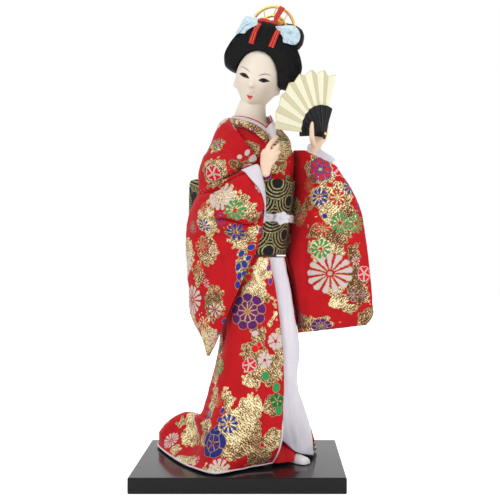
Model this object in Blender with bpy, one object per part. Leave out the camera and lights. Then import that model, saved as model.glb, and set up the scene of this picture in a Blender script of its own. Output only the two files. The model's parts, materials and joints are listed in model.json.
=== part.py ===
# Standing geisha doll in a brocade kimono, holding a folding fan, on a black plinth.
# All sizes in metres, +Z up, the doll looks along -Y.
import math

import bmesh
import bpy
import numpy as np
from mathutils import Euler, Matrix, Vector
from mathutils.bvhtree import BVHTree

# Driving dimensions.
DOLL_HEIGHT = 0.2956      # plinth top to the top of the comb
BASE_WIDTH = 0.130
BASE_DEPTH = 0.100
BASE_HEIGHT = 0.00975
BASE_BEVEL = 0.0008
CLOTH = 1.1               # thickness of the robe cloth with its lining, in doll units
GAP = 0.35                # free gap between neighbouring pieces, in doll units
FAN_RADIUS = 39.6
FAN_PLEATS = 7
FAN_RIBS = 8

# One doll unit is a millimetre at the photographed size.
UNIT = DOLL_HEIGHT / 295.6
FLOOR = 0.35

for old in list(bpy.data.objects):
    bpy.data.objects.remove(old, do_unlink=True)

parts = {}


# Colours: name, rgb, metallic, roughness.
COLOURS = {
    "plinth_black": ((0.015, 0.015, 0.017), 0.0, 0.35),
    "post_steel": ((0.45, 0.45, 0.46), 1.0, 0.4),
    "core_straw": ((0.62, 0.52, 0.33), 0.0, 0.9),
    "face_cream": ((0.87, 0.78, 0.67), 0.0, 0.35),
    "hand_flesh": ((0.86, 0.66, 0.50), 0.0, 0.4),
    "hair_black": ((0.012, 0.012, 0.013), 0.0, 0.6),
    "gold_metal": ((0.80, 0.55, 0.20), 1.0, 0.3),
    "ribbon_red": ((0.62, 0.03, 0.03), 0.0, 0.5),
    "cloth_blue": ((0.62, 0.80, 0.90), 0.0, 0.8),
    "cloth_white": ((0.82, 0.81, 0.86), 0.0, 0.6),
    "cloth_red": ((0.60, 0.02, 0.03), 0.0, 0.6),
    "brocade_red": ((0.50, 0.10, 0.06), 0.0, 0.6),
    "brocade_gold": ((0.45, 0.30, 0.13), 0.0, 0.5),
    "obi_black": ((0.05, 0.045, 0.03), 0.0, 0.6),
    "tabi_white": ((0.88, 0.88, 0.90), 0.0, 0.7),
    "fan_paper": ((0.80, 0.76, 0.52), 0.0, 0.5),
    "fan_lacquer": ((0.01, 0.01, 0.01), 0.0, 0.25),
}


def place(points):
    """Doll units above the plinth top to metres in the world."""
    array = np.asarray(points, dtype=float) * UNIT
    array[..., 2] += BASE_HEIGHT
    return array


def spline(points, count, closed=False):
    """Resample the first axis of a point array with a Catmull-Rom curve."""
    pts = np.asarray(points, dtype=float)
    n = len(pts)
    if closed:
        t = np.arange(count) / count * n
    else:
        t = np.linspace(0.0, n - 1.0, count)
    k = np.minimum(np.floor(t).astype(int), n - 1 if closed else n - 2)
    f = (t - k).reshape((-1,) + (1,) * (pts.ndim - 1))
    if closed:
        p0, p1, p2, p3 = (pts[(k + d) % n] for d in (-1, 0, 1, 2))
    else:
        ext = np.concatenate([[2 * pts[0] - pts[1]], pts, [2 * pts[-1] - pts[-2]]])
        p0, p1, p2, p3 = (ext[k + d] for d in (0, 1, 2, 3))
    a = 2 * p1 + (p2 - p0) * f
    b = (2 * p0 - 5 * p1 + 4 * p2 - p3) * f ** 2
    c = (3 * p1 - p0 - 3 * p2 + p3) * f ** 3
    return 0.5 * (a + b + c)


def sample(points, t, closed=False):
    """One point of the Catmull-Rom curve at parameter t."""
    pts = np.asarray(points, dtype=float)
    n = len(pts)
    if closed:
        k = math.floor(t)
        quad = [pts[(k + d) % n] for d in (-1, 0, 1, 2)]
    else:
        t = min(max(t, 0.0), n - 1.0)
        k = min(int(t), n - 2)
        first = 2 * pts[0] - pts[1]
        last = 2 * pts[-1] - pts[-2]
        ext = [first] + list(pts) + [last]
        quad = ext[k:k + 4]
    f = t - k
    p0, p1, p2, p3 = quad
    return 0.5 * (2 * p1 + (p2 - p0) * f + (2 * p0 - 5 * p1 + 4 * p2 - p3) * f ** 2
                  + (3 * p1 - p0 - 3 * p2 + p3) * f ** 3)


def grid(net, rows, columns, closed=False):
    """Smooth grid through a control net, rows down and columns across."""
    wide = spline(np.swapaxes(np.asarray(net, dtype=float), 0, 1), columns, closed)
    return spline(np.swapaxes(wide, 0, 1), rows)


def grid_normals(points, closed=False):
    """Unit normals of a grid."""
    down = np.gradient(points, axis=0)
    if closed:
        across = np.roll(points, -1, axis=1) - np.roll(points, 1, axis=1)
    else:
        across = np.gradient(points, axis=1)
    normal = np.cross(down, across)
    return normal / np.linalg.norm(normal, axis=2, keepdims=True)


def add_object(name, colour, verts, faces, smooth=True):
    """A named closed body from points in doll units."""
    mesh = bpy.data.meshes.new(name)
    mesh.from_pydata([tuple(v) for v in place(verts)], [], faces)
    bm = bmesh.new()
    bm.from_mesh(mesh)
    bmesh.ops.remove_doubles(bm, verts=bm.verts, dist=1e-7)
    bmesh.ops.recalc_face_normals(bm, faces=bm.faces)
    bm.to_mesh(mesh)
    bm.free()
    obj = bpy.data.objects.new(name, mesh)
    bpy.context.scene.collection.objects.link(obj)
    mesh.materials.append(material(name, colour))
    for polygon in mesh.polygons:
        polygon.use_smooth = smooth
    parts[name] = obj
    return obj


def material(name, colour):
    """The plain material of one piece."""
    rgb, metallic, roughness = COLOURS[colour]
    mat = bpy.data.materials.new(name + "_" + colour)
    mat.use_nodes = True
    shader = mat.node_tree.nodes["Principled BSDF"]
    shader.inputs["Base Color"].default_value = rgb + (1.0,)
    shader.inputs["Metallic"].default_value = metallic
    shader.inputs["Roughness"].default_value = roughness
    mat.diffuse_color = rgb + (1.0,)
    return mat


def strip_faces(faces, first, second, count, closed):
    """Quads between two rows of vertices."""
    for i in range(count if closed else count - 1):
        j = (i + 1) % count
        faces.append((first + i, first + j, second + j, second + i))


def loft(name, colour, rings, smooth=True):
    """Closed body through closed rings, both ends capped by fans."""
    rings = [np.asarray(r, dtype=float) for r in rings]
    count = len(rings[0])
    verts = np.concatenate(rings + [[rings[0].mean(axis=0)], [rings[-1].mean(axis=0)]])
    faces = []
    for k in range(len(rings) - 1):
        strip_faces(faces, k * count, (k + 1) * count, count, True)
    low = len(rings) * count
    last = (len(rings) - 1) * count
    for i in range(count):
        j = (i + 1) % count
        faces.append((low, j, i))
        faces.append((low + 1, last + i, last + j))
    return add_object(name, colour, verts, faces, smooth)


def hoop(name, colour, rings, smooth=True):
    """Closed body through closed rings joined end to end, like a tyre."""
    count = len(rings[0])
    verts = np.concatenate([np.asarray(r, dtype=float) for r in rings])
    faces = []
    for k in range(len(rings)):
        strip_faces(faces, k * count, (k + 1) % len(rings) * count, count, True)
    return add_object(name, colour, verts, faces, smooth)


def sheet(name, colour, outer, inner, smooth=True):
    """Closed body between two open grids of the same size."""
    rows, columns = outer.shape[:2]
    verts = np.concatenate([outer.reshape(-1, 3), inner.reshape(-1, 3)])
    half = rows * columns
    faces = []
    for r in range(rows - 1):
        strip_faces(faces, r * columns, (r + 1) * columns, columns, False)
        strip_faces(faces, half + (r + 1) * columns, half + r * columns, columns, False)
        a = r * columns
        b = a + columns
        faces.append((a, b, half + b, half + a))
        a += columns - 1
        b += columns - 1
        faces.append((b, a, half + a, half + b))
    strip_faces(faces, half, 0, columns, False)
    strip_faces(faces, (rows - 1) * columns, half + (rows - 1) * columns, columns, False)
    return add_object(name, colour, verts, faces, smooth)


def ellipse(centre, rx, ry, count, tilt=0.0, start=0.0):
    """Level ring round a centre, from the front towards +X, the front lowered by tilt."""
    cx, cy, cz = centre
    angle = start + np.arange(count) * 2 * math.pi / count
    return np.stack([cx + rx * np.sin(angle), cy - ry * np.cos(angle),
                     cz - tilt * np.cos(angle)], axis=1)


def tube(path, radius, sides=8, flat=1.0):
    """Rings of round section along a path, radius a number or one per point."""
    path = np.asarray(path, dtype=float)
    radii = np.broadcast_to(np.asarray(radius, dtype=float), (len(path),))
    tangent = np.gradient(path, axis=0)
    tangent /= np.linalg.norm(tangent, axis=1, keepdims=True)
    side = np.cross(tangent, [0.0, 1.0, 0.05])
    side /= np.linalg.norm(side, axis=1, keepdims=True)
    other = np.cross(tangent, side)
    rings = []
    for k in range(len(path)):
        angle = np.arange(sides) * 2 * math.pi / sides
        rings.append(path[k] + radii[k] * (np.outer(np.cos(angle), side[k])
                                           + flat * np.outer(np.sin(angle), other[k])))
    return rings


def select_largest(obj):
    """Keep the largest island of a mesh and tidy it."""
    bm = bmesh.new()
    bm.from_mesh(obj.data)
    bmesh.ops.remove_doubles(bm, verts=bm.verts, dist=2e-7)
    left = set(bm.verts)
    islands = []
    while left:
        stack = [left.pop()]
        island = set(stack)
        while stack:
            vert = stack.pop()
            for edge in vert.link_edges:
                other = edge.other_vert(vert)
                if other in left:
                    left.discard(other)
                    island.add(other)
                    stack.append(other)
        islands.append(island)
    islands.sort(key=len)
    for island in islands[:-1]:
        bmesh.ops.delete(bm, geom=list(island), context="VERTS")
    bmesh.ops.triangulate(bm, faces=bm.faces)
    bm.to_mesh(obj.data)
    bm.free()


def combine(target, other, operation, clearance=0.0):
    """Exact union or difference of a piece with a copy of another, grown by a clearance."""
    cutter = other.copy()
    cutter.data = other.data.copy()
    bpy.context.scene.collection.objects.link(cutter)
    if clearance:
        shift = clearance * UNIT
        normals = [v.normal.copy() for v in cutter.data.vertices]
        for vert, normal in zip(cutter.data.vertices, normals):
            vert.co += normal * shift
    modifier = target.modifiers.new("combine", "BOOLEAN")
    modifier.operation = operation
    modifier.solver = "EXACT"
    modifier.object = cutter
    graph = bpy.context.evaluated_depsgraph_get()
    result = bpy.data.meshes.new_from_object(target.evaluated_get(graph))
    target.modifiers.clear()
    old = target.data
    target.data = result
    bpy.data.meshes.remove(old)
    bpy.data.objects.remove(cutter, do_unlink=True)
    select_largest(target)


def carve(name, others, clearance=GAP):
    """Cut a hidden clearance for other pieces out of a piece."""
    for other in others:
        combine(parts[name], parts[other], "DIFFERENCE", clearance)


# Torso: the surface that bodice, obi and collars follow.
# Each level is height, centre x and y, half width, half depth, drop of the front.
TORSO = [
    (118.0, 8.5, 0.0, 18.5, 17.0, 0.0),
    (131.0, 8.7, 0.0, 18.3, 17.0, 0.0),
    (145.0, 10.8, 0.0, 17.8, 16.8, 0.0),
    (160.0, 13.0, 0.0, 17.6, 16.6, 0.0),
    (180.0, 15.2, 0.0, 18.3, 16.6, 0.0),
    (192.0, 14.5, -0.5, 20.2, 17.2, 0.0),
    (202.0, 12.3, -1.0, 20.2, 17.5, 1.0),
    (210.0, 9.8, -0.8, 16.4, 16.0, 2.0),
    (215.0, 7.8, -0.2, 14.2, 13.8, 3.5),
    (218.0, 6.8, 0.9, 12.9, 12.6, 5.0),
]
SIDES = 12


def torso_net():
    rings = []
    for z, cx, cy, rx, ry, drop in TORSO:
        rings.append(ellipse((cx, cy, z), rx, ry, SIDES, drop))
    return np.array(rings)


NET = torso_net()


def torso_point(u, v, offset=0.0):
    """Point of the torso surface, u in twelfths of a turn from the front, v by level."""
    def at(a, b):
        ring = np.array([sample(NET[:, i], b) for i in range(SIDES)])
        return sample(ring, a, True)
    v = min(v, 8.99)
    point = at(u, v)
    step = 0.04
    du = at(u + step, v) - at(u - step, v)
    dv = at(u, min(v + step, 9.0)) - at(u, max(v - step, 0.0))
    normal = np.cross(du, dv)
    return point + normal / np.linalg.norm(normal) * offset


def torso_band(name, colour, low, high, inside, outside, rows, sides):
    """Tube round the torso between two levels."""
    levels = np.linspace(low, high, rows)
    around = np.arange(sides) * SIDES / sides
    rings = [[torso_point(u, v, outside) for u in around] for v in levels]
    rings += [[torso_point(u, v, inside) for u in around] for v in levels[::-1]]
    return hoop(name, colour, rings)


def torso_strip(name, colour, edge_a, edge_b, inside, outside, rows, columns=3):
    """Flat band lying on the torso between two edge curves given as u, v."""
    a = spline(edge_a, rows)
    b = spline(edge_b, rows)
    mix = np.linspace(0.0, 1.0, columns)
    uv = [[a[k] * (1 - m) + b[k] * m for m in mix] for k in range(rows)]
    outer = np.array([[torso_point(u, v, outside) for u, v in row] for row in uv])
    inner = np.array([[torso_point(u, v, inside) for u, v in row] for row in uv])
    return sheet(name, colour, outer, inner)


# Plinth and inner stand.
def build_stand():
    x = BASE_WIDTH / 2 / UNIT
    y = BASE_DEPTH / 2 / UNIT
    h = BASE_HEIGHT / UNIT
    verts = [(sx * x, sy * y, z) for z in (-h, 0.0) for sx, sy in ((-1, -1), (1, -1), (1, 1), (-1, 1))]
    faces = [(3, 2, 1, 0), (4, 5, 6, 7), (0, 1, 5, 4), (1, 2, 6, 5), (2, 3, 7, 6), (3, 0, 4, 7)]
    base = add_object("base_plinth", "plinth_black", verts, faces, smooth=False)
    bevel = base.modifiers.new("edges", "BEVEL")
    bevel.width = BASE_BEVEL
    bevel.segments = 1
    loft("stand_post", "post_steel", [ellipse((12.0, 6.0, z), 2.5, 2.5, 12) for z in (FLOOR, 59.6)])
    levels = [(60.0, 11.0, 9.0), (75.0, 13.0, 12.0), (118.0, 14.0, 13.5), (150.0, 14.0, 13.0),
              (180.0, 14.5, 13.2), (195.0, 15.0, 13.5), (203.0, 12.0, 11.0)]
    centres = [12.0, 11.5, 9.0, 11.5, 14.5, 13.5, 12.0]
    rings = [ellipse((cx, 1.0, z), rx, ry, 10) for (z, rx, ry), cx in zip(levels, centres)]
    loft("body_core", "core_straw", rings)


# Head frame: eye level origin, turned to the doll's right and tipped to its left.
HEAD_ORIGIN = Vector((10.7, 1.0, 243.8))
HEAD_TURN = Euler((0.0, 0.0, math.radians(-11.0))).to_matrix() @ Euler((0.0, math.radians(13.0), 0.0)).to_matrix()
SKULL = np.array([0.0, 1.5, 2.5])


def head_world(points):
    """Head frame to doll units."""
    matrix = np.array(HEAD_TURN)
    return np.asarray(points, dtype=float) @ matrix.T + np.array(HEAD_ORIGIN)


def bump(d, centre, size):
    """Soft bump on the unit sphere."""
    c = np.asarray(centre, dtype=float)
    c = c / np.linalg.norm(c)
    return math.exp(-((d[0] - c[0]) ** 2 + (d[1] - c[1]) ** 2 + (d[2] - c[2]) ** 2) / size ** 2)


def skull_radius(direction):
    """Distance from the skull centre to the face or scalp along a unit direction."""
    x, y, z = direction
    low = max(-z, 0.0)
    rx = 14.9 * (1.0 - 0.31 * low ** 2.2)
    ry = 15.6 * (1.0 - 0.16 * low ** 2.0)
    rz = 21.6
    r = 1.0 / math.sqrt((x / rx) ** 2 + (y / ry) ** 2 + (z / rz) ** 2)
    d = direction
    r += 1.9 * bump(d, (0.0, -0.93, -0.42), 0.13)
    r += 0.9 * bump(d, (0.0, -0.98, -0.22), 0.12)
    r += 0.7 * bump(d, (0.0, -0.80, -0.64), 0.14)
    r += 1.2 * bump(d, (0.0, -0.60, -0.88), 0.20)
    r -= 0.8 * bump(d, (0.42, -0.95, -0.10), 0.20)
    r -= 0.8 * bump(d, (-0.42, -0.95, -0.10), 0.20)
    r += 0.5 * bump(d, (0.52, -0.80, -0.42), 0.26)
    r += 0.5 * bump(d, (-0.52, -0.80, -0.42), 0.26)
    r += 2.2 * bump(d, (0.92, 0.0, -0.40), 0.17)
    r += 2.2 * bump(d, (-0.92, 0.0, -0.40), 0.17)
    return r


def build_head():
    count = 22
    turns = []
    for i in range(count):
        t = i / count * 2 * math.pi
        turns.append(t - 0.42 * math.sin(t))
    rings = []
    for k in range(1, 17):
        lat = -math.pi / 2 + math.pi * k / 17
        ring = []
        for t in turns:
            d = np.array([math.cos(lat) * math.sin(t), -math.cos(lat) * math.cos(t), math.sin(lat)])
            ring.append(SKULL + d * skull_radius(d))
        rings.append(head_world(ring))
    head = loft("head_and_neck", "face_cream", rings)
    neck_rings = [
        ellipse((9.6, -0.6, 204.0), 9.0, 10.0, 16),
        ellipse((9.4, -0.6, 209.0), 12.6, 12.8, 16, 1.0),
        ellipse((8.2, 0.4, 213.8), 12.0, 11.8, 16, 2.0),
        ellipse((6.4, 1.8, 218.2), 11.0, 10.2, 16, 1.5),
        ellipse((6.2, 2.8, 223.0), 10.3, 9.2, 16, 0.5),
        ellipse((7.2, 3.6, 229.0), 9.2, 8.4, 16),
        ellipse((9.6, 4.0, 236.0), 8.4, 8.2, 16),
    ]
    neck = loft("neck_blank", "face_cream", neck_rings)
    combine(head, neck, "UNION")
    del parts["neck_blank"]
    bpy.data.objects.remove(neck, do_unlink=True)


# Hair: strands run from the hairline to the crown knot.
# Hairline points in the head frame, from the top centre down the right side and round the nape.
HAIRLINE = [
    (0.0, -11.6, 20.6), (9.0, -9.2, 16.8), (13.4, -5.6, 9.6), (14.8, -2.2, 3.6), (15.2, 3.0, 1.2),
    (13.2, 9.0, -2.6), (6.8, 13.6, -7.4),
    (0.0, 15.2, -8.6),
    (-6.8, 13.6, -6.4), (-13.2, 9.0, 0.0), (-15.2, 3.0, 3.8), (-14.8, -2.2, 6.0),
    (-13.4, -5.6, 10.6), (-9.0, -9.2, 17.0),
]
CROWN = np.array([0.0, 9.5, 26.0])
# Thickness of the hair over the scalp for each hairline point, from the edge to the crown.
HAIR_DEPTH = [
    (0.9, 4.6, 9.8, 13.6, 14.0, 12.0), (0.9, 5.6, 10.6, 14.0, 13.6, 12.0),
    (0.9, 7.6, 11.6, 13.4, 12.6, 12.0), (0.9, 9.4, 12.2, 12.6, 11.4, 11.0),
    (0.9, 8.8, 11.6, 11.6, 10.8, 11.0), (0.9, 5.4, 8.4, 9.4, 9.8, 11.0),
    (0.9, 4.6, 7.6, 8.6, 9.2, 11.0),
    (0.9, 4.4, 7.4, 8.4, 9.0, 11.0),
    (0.9, 4.6, 7.6, 8.6, 9.2, 11.0), (0.9, 5.4, 8.4, 9.4, 9.8, 11.0),
    (0.9, 7.8, 10.6, 11.2, 10.8, 11.0), (0.9, 8.4, 11.4, 12.4, 11.4, 11.0),
    (0.9, 7.6, 11.6, 13.4, 12.6, 12.0), (0.9, 5.6, 10.6, 14.0, 13.6, 12.0),
]
HAIR_STOPS = (0.0, 0.07, 0.2, 0.42, 0.7, 1.0)


def slerp(a, b, t):
    angle = math.acos(max(-1.0, min(1.0, float(np.dot(a, b)))))
    return (math.sin((1 - t) * angle) * a + math.sin(t * angle) * b) / math.sin(angle)


def hair_ring(b, count, inner):
    """One ring of the wig, b from the hairline at 0 to the crown at 1."""
    line = spline(HAIRLINE, count, True)
    depth = spline(HAIR_DEPTH, count, True)
    pole = (CROWN - SKULL) / np.linalg.norm(CROWN - SKULL)
    ring = []
    for point, row in zip(line, depth):
        start = (point - SKULL) / np.linalg.norm(point - SKULL)
        d = slerp(start, pole, b)
        r = skull_radius(d) + 1.1
        if inner:
            r += 2.0 * min(1.0, b / 0.2)
        else:
            r += float(np.interp(b, HAIR_STOPS, row))
        ring.append(SKULL + d * r)
    return head_world(ring)


def build_hair():
    count = 22
    inner = [hair_ring(b, count, True) for b in (0.9, 0.5, 0.2, 0.0)]
    outer = [hair_ring(b, count, False) for b in (0.0, 0.04, 0.11, 0.22, 0.38, 0.58, 0.8, 0.94)]
    loft("hair_wig", "hair_black", inner + outer)
    bun = []
    for x, ry, rz in ((-16.5, 3.0, 3.6), (-14.0, 6.5, 7.0), (-8.0, 9.0, 9.2), (0.0, 8.6, 9.0),
                      (8.0, 9.0, 9.2), (14.0, 6.5, 7.0), (16.5, 3.0, 3.6)):
        angle = np.arange(14) * 2 * math.pi / 14
        ring = np.stack([np.full(14, 2.6 + x), 21.0 + ry * np.cos(angle), 36.4 + rz * np.sin(angle)], axis=1)
        bun.append(head_world(ring))
    loft("hair_bun", "hair_black", bun)


def ray_front(name, x, z, default=0.0):
    """Depth of a piece's front surface at a place seen from the front."""
    obj = parts[name]
    tree = BVHTree.FromPolygons([v.co for v in obj.data.vertices], [p.vertices for p in obj.data.polygons])
    start = place([(x, -90.0, z)])[0]
    hit = tree.ray_cast(Vector(start), Vector((0.0, 1.0, 0.0)))
    if hit[0] is None:
        return default
    return hit[0].y / UNIT


def build_ornaments():
    # Pierced comb: polar cells kept or left open.
    turns = 18
    radii = (7.0, 8.8, 10.8, 13.8, 15.6)
    keep = np.zeros((len(radii) - 1, turns), dtype=bool)
    keep[0, :] = True
    keep[3, :] = True
    keep[1, [0, 1, 4, 5, 8, 9, 12, 13, 16, 17]] = True
    keep[2, [1, 5, 12, 16]] = True
    keep[1, [8, 9]] = True
    keep[2, [8]] = True
    verts = []
    for y in (0.0, 1.3):
        for r in radii:
            for i in range(turns + 1):
                a = math.pi * i / turns
                verts.append((0.7 + r * math.cos(a), 6.4 + y - 0.16 * r * math.sin(a), 36.6 + r * math.sin(a)))
    layer = len(radii) * (turns + 1)
    faces = []

    def vert(side, k, i):
        return side * layer + k * (turns + 1) + i

    for k in range(len(radii) - 1):
        for i in range(turns):
            if not keep[k, i]:
                continue
            faces.append((vert(0, k, i), vert(0, k, i + 1), vert(0, k + 1, i + 1), vert(0, k + 1, i)))
            faces.append((vert(1, k, i), vert(1, k + 1, i), vert(1, k + 1, i + 1), vert(1, k, i + 1)))
            for dk, di, a, b in ((-1, 0, (k, i), (k, i + 1)), (1, 0, (k + 1, i + 1), (k + 1, i)),
                                 (0, -1, (k + 1, i), (k, i)), (0, 1, (k, i + 1), (k + 1, i + 1))):
                kk = k + dk
                ii = i + di
                if 0 <= kk < len(radii) - 1 and 0 <= ii < turns and keep[kk, ii]:
                    continue
                faces.append((vert(0, *a), vert(1, *a), vert(1, *b), vert(0, *b)))
    used = sorted({i for f in faces for i in f})
    index = {old: new for new, old in enumerate(used)}
    points = head_world([verts[i] for i in used])
    add_object("comb_gold", "gold_metal", points, [tuple(index[i] for i in f) for f in faces], smooth=False)
    carve("comb_gold", ["hair_wig", "hair_bun"])

    # Ribbon tails lie on the hair, with a knotted band over the dome.
    def on_hair(x, z, lift):
        return (x, ray_front("hair_wig", x, z, 4.0) - lift, z)

    def ribbon(name, path, width, thick):
        path = spline(path, 7)
        tangent = np.gradient(path, axis=0)
        rings = []
        for p, t in zip(path, tangent):
            side = np.cross(t, [0.0, -1.0, 0.25])
            side = side / np.linalg.norm(side) * width / 2
            up = np.cross(side, t)
            up = up / np.linalg.norm(up) * thick / 2
            rings.append([p - side - up, p + side - up, p + side + up, p - side + up])
        loft(name, "ribbon_red", rings, smooth=False)

    tail_l = [(x, z) for x, z in ((11.6, 278.6), (9.6, 274.0), (8.0, 269.6), (7.0, 266.4))]
    ribbon("ribbon_tail_left", [on_hair(x, z, 1.2) for x, z in tail_l], 3.2, 0.5)
    tail_r = [(x, z) for x, z in ((24.0, 273.6), (22.6, 270.0), (21.0, 266.0), (19.8, 263.4))]
    ribbon("ribbon_tail_right", [on_hair(x, z, 1.2) for x, z in tail_r], 3.4, 0.5)
    loft("ribbon_band", "ribbon_red", tube(spline([(11.4, -2.2, 281.4), (14.6, -3.6, 282.6), (19.0, -4.0, 282.0),
                                                   (23.6, -3.4, 279.6), (26.0, -1.8, 277.4)], 8), 1.35, 8))
    ribbon("ribbon_tail_up", [(22.6, -3.4, 282.0), (24.4, -4.4, 286.6), (27.0, -4.4, 291.4)], 3.6, 0.5)
    carve("ribbon_tail_up", ["ribbon_band"])
    carve("hair_wig", ["ribbon_band"])
    carve("comb_gold", ["ribbon_band", "ribbon_tail_up"])

    # Crumpled cloth flowers either side of the dome.
    def flower(name, centre, across, along, seed):
        rng = np.random.default_rng(seed)
        phase = rng.uniform(0, 6.28, 4)
        across = np.asarray(across, dtype=float)
        along = np.asarray(along, dtype=float)
        normal = np.cross(across, along)
        normal = normal / np.linalg.norm(normal)
        if normal[1] > 0:
            normal = -normal
        rings = []
        for side, stops in ((-1, (0.3, 0.7, 1.0)), (1, (1.0, 0.7, 0.3))):
            for s in stops:
                ring = []
                for i in range(16):
                    a = i * 2 * math.pi / 16
                    lobes = 1.0 + 0.12 * math.cos(5 * a + phase[0]) * s
                    wave = s * s * (0.9 * math.sin(5 * a + phase[1]) + 0.5 * math.sin(3 * a + phase[2]))
                    lift = wave + 1.4 * (1 - s) + side * (0.55 if s < 1 else 0.3)
                    p = np.asarray(centre) + lobes * s * (math.cos(a) * across + math.sin(a) * along)
                    ring.append(p + normal * lift)
                rings.append(ring)
        loft(name, "cloth_blue", rings)

    flower("flower_blue_left", (3.4, -2.4, 280.2), (6.6, -1.2, 5.0), (-2.6, 3.0, 4.4), 3)
    flower("flower_blue_right", (30.6, -3.6, 272.6), (7.4, 3.0, -2.4), (1.8, 2.8, 5.6), 8)
    for name in ("flower_blue_left", "flower_blue_right"):
        carve("hair_wig", [name])
        carve("hair_bun", [name])
        carve("comb_gold", [name])
        carve(name, ["ribbon_band", "ribbon_tail_left", "ribbon_tail_right"])
    carve("hair_wig", ["hair_bun"])


def build_bodice():
    torso_band("kimono_bodice", "brocade_red", 3.2, 8.9, -1.5, 0.0, 8, 18)
    edge_in = [(-5.9, 9.0), (-4.8, 9.0), (-3.6, 9.0), (-2.4, 8.98), (-1.2, 8.7), (0.0, 8.2), (0.7, 7.75),
               (1.25, 7.3), (1.8, 7.9), (2.6, 8.5), (3.6, 8.9), (4.8, 9.0), (5.9, 9.0)]
    edge_out = [(-5.9, 8.4), (-4.8, 8.4), (-3.6, 8.5), (-2.4, 8.45), (-1.2, 8.1), (0.0, 7.4), (0.7, 6.75),
                (1.3, 6.15), (1.9, 6.8), (2.7, 7.6), (3.7, 8.2), (4.8, 8.4), (5.9, 8.4)]
    rows = 26
    a = spline(edge_in, rows, False)
    b = spline(edge_out, rows, False)
    outer = []
    inner = []
    for k in range(rows):
        outer.append([torso_point(*(a[k] * (1 - m) + b[k] * m), 1.0) for m in (0.0, 0.5, 1.0)])
        inner.append([torso_point(*(a[k] * (1 - m) + b[k] * m), GAP) for m in (0.0, 0.5, 1.0)])
    sheet("under_collar_white", "cloth_white", np.array(outer), np.array(inner))
    line = [torso_point(u, v + 0.1, 1.15) for u, v in a]
    piping = np.array(line) + [0.0, 0.0, 0.75]
    loft("collar_piping_red", "cloth_red", tube(piping[1:-1], 0.42, 5))

    torso_strip("collar_right", "brocade_gold",
                [(-5.9, 8.45), (-4.5, 8.5), (-3.0, 8.55), (-1.5, 8.15), (0.0, 7.35), (0.75, 6.55)],
                [(-5.9, 7.5), (-4.5, 7.5), (-3.0, 7.6), (-1.5, 7.15), (-0.3, 6.5), (0.35, 5.8)],
                1.0 + GAP, 2.2, 12)
    torso_strip("collar_left", "brocade_gold",
                [(5.9, 8.25), (4.5, 8.15), (3.3, 7.95), (2.3, 7.2), (1.5, 6.15), (0.95, 5.5), (0.45, 4.8), (0.1, 4.1)],
                [(5.9, 7.5), (4.6, 7.35), (3.5, 7.1), (2.65, 6.4), (2.0, 5.5), (1.5, 4.9), (1.1, 4.45), (0.85, 4.1)],
                1.0 + GAP, 2.2, 14)


def build_obi():
    torso_band("obi_band", "obi_black", 1.05, 3.97, GAP, 2.6, 5, 20)
    torso_band("obijime_cord", "cloth_white", 2.55, 2.85, 2.6 + 2 * GAP, 4.4, 2, 20)
    centre = np.array(torso_point(0.9, 2.72, 7.0))
    rings = []
    for r, lift in ((0.45, -2.6), (0.85, -1.6), (1.0, 0.0), (0.88, 1.5), (0.5, 2.6)):
        ring = []
        for i in range(20):
            a = i * 2 * math.pi / 20
            lobes = 1.0 + 0.13 * math.cos(5 * a)
            ring.append(centre + [5.6 * r * lobes * math.cos(a), -lift * 0.8, 4.2 * r * lobes * math.sin(a)])
        rings.append(ring)
    loft("obijime_knot", "cloth_white", rings)
    # Drum bow behind, turned with the body.
    turn = math.radians(38)
    back = np.array([-math.sin(turn), math.cos(turn), 0.0])
    side = np.array([math.cos(turn), math.sin(turn), 0.0])
    middle = np.array([-8.0, 23.8, 165.6])
    rings = []
    for t, size in ((-1.0, 0.8), (-0.94, 0.97), (-0.5, 1.0), (0.0, 0.94), (0.5, 1.0), (0.94, 0.97), (1.0, 0.8)):
        ring = []
        for i in range(12):
            a = (i + 0.5) * 2 * math.pi / 12
            c = math.cos(a)
            s = math.sin(a)
            p = (abs(c) ** 4 + abs(s) ** 4) ** -0.25
            # The padding inside the bow fills the space up to the wearer's back.
            depth = 7.2 * size + (6.4 * (1.0 - abs(t)) if c < 0 else 0.0)
            ring.append(middle + side * 29.0 * t + back * depth * p * c + np.array([0, 0, 16.0 * size * p * s]))
        rings.append(ring)
    loft("obi_drum", "obi_black", rings)
    carve("obi_drum", ["obi_band", "obijime_cord"])


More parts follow.
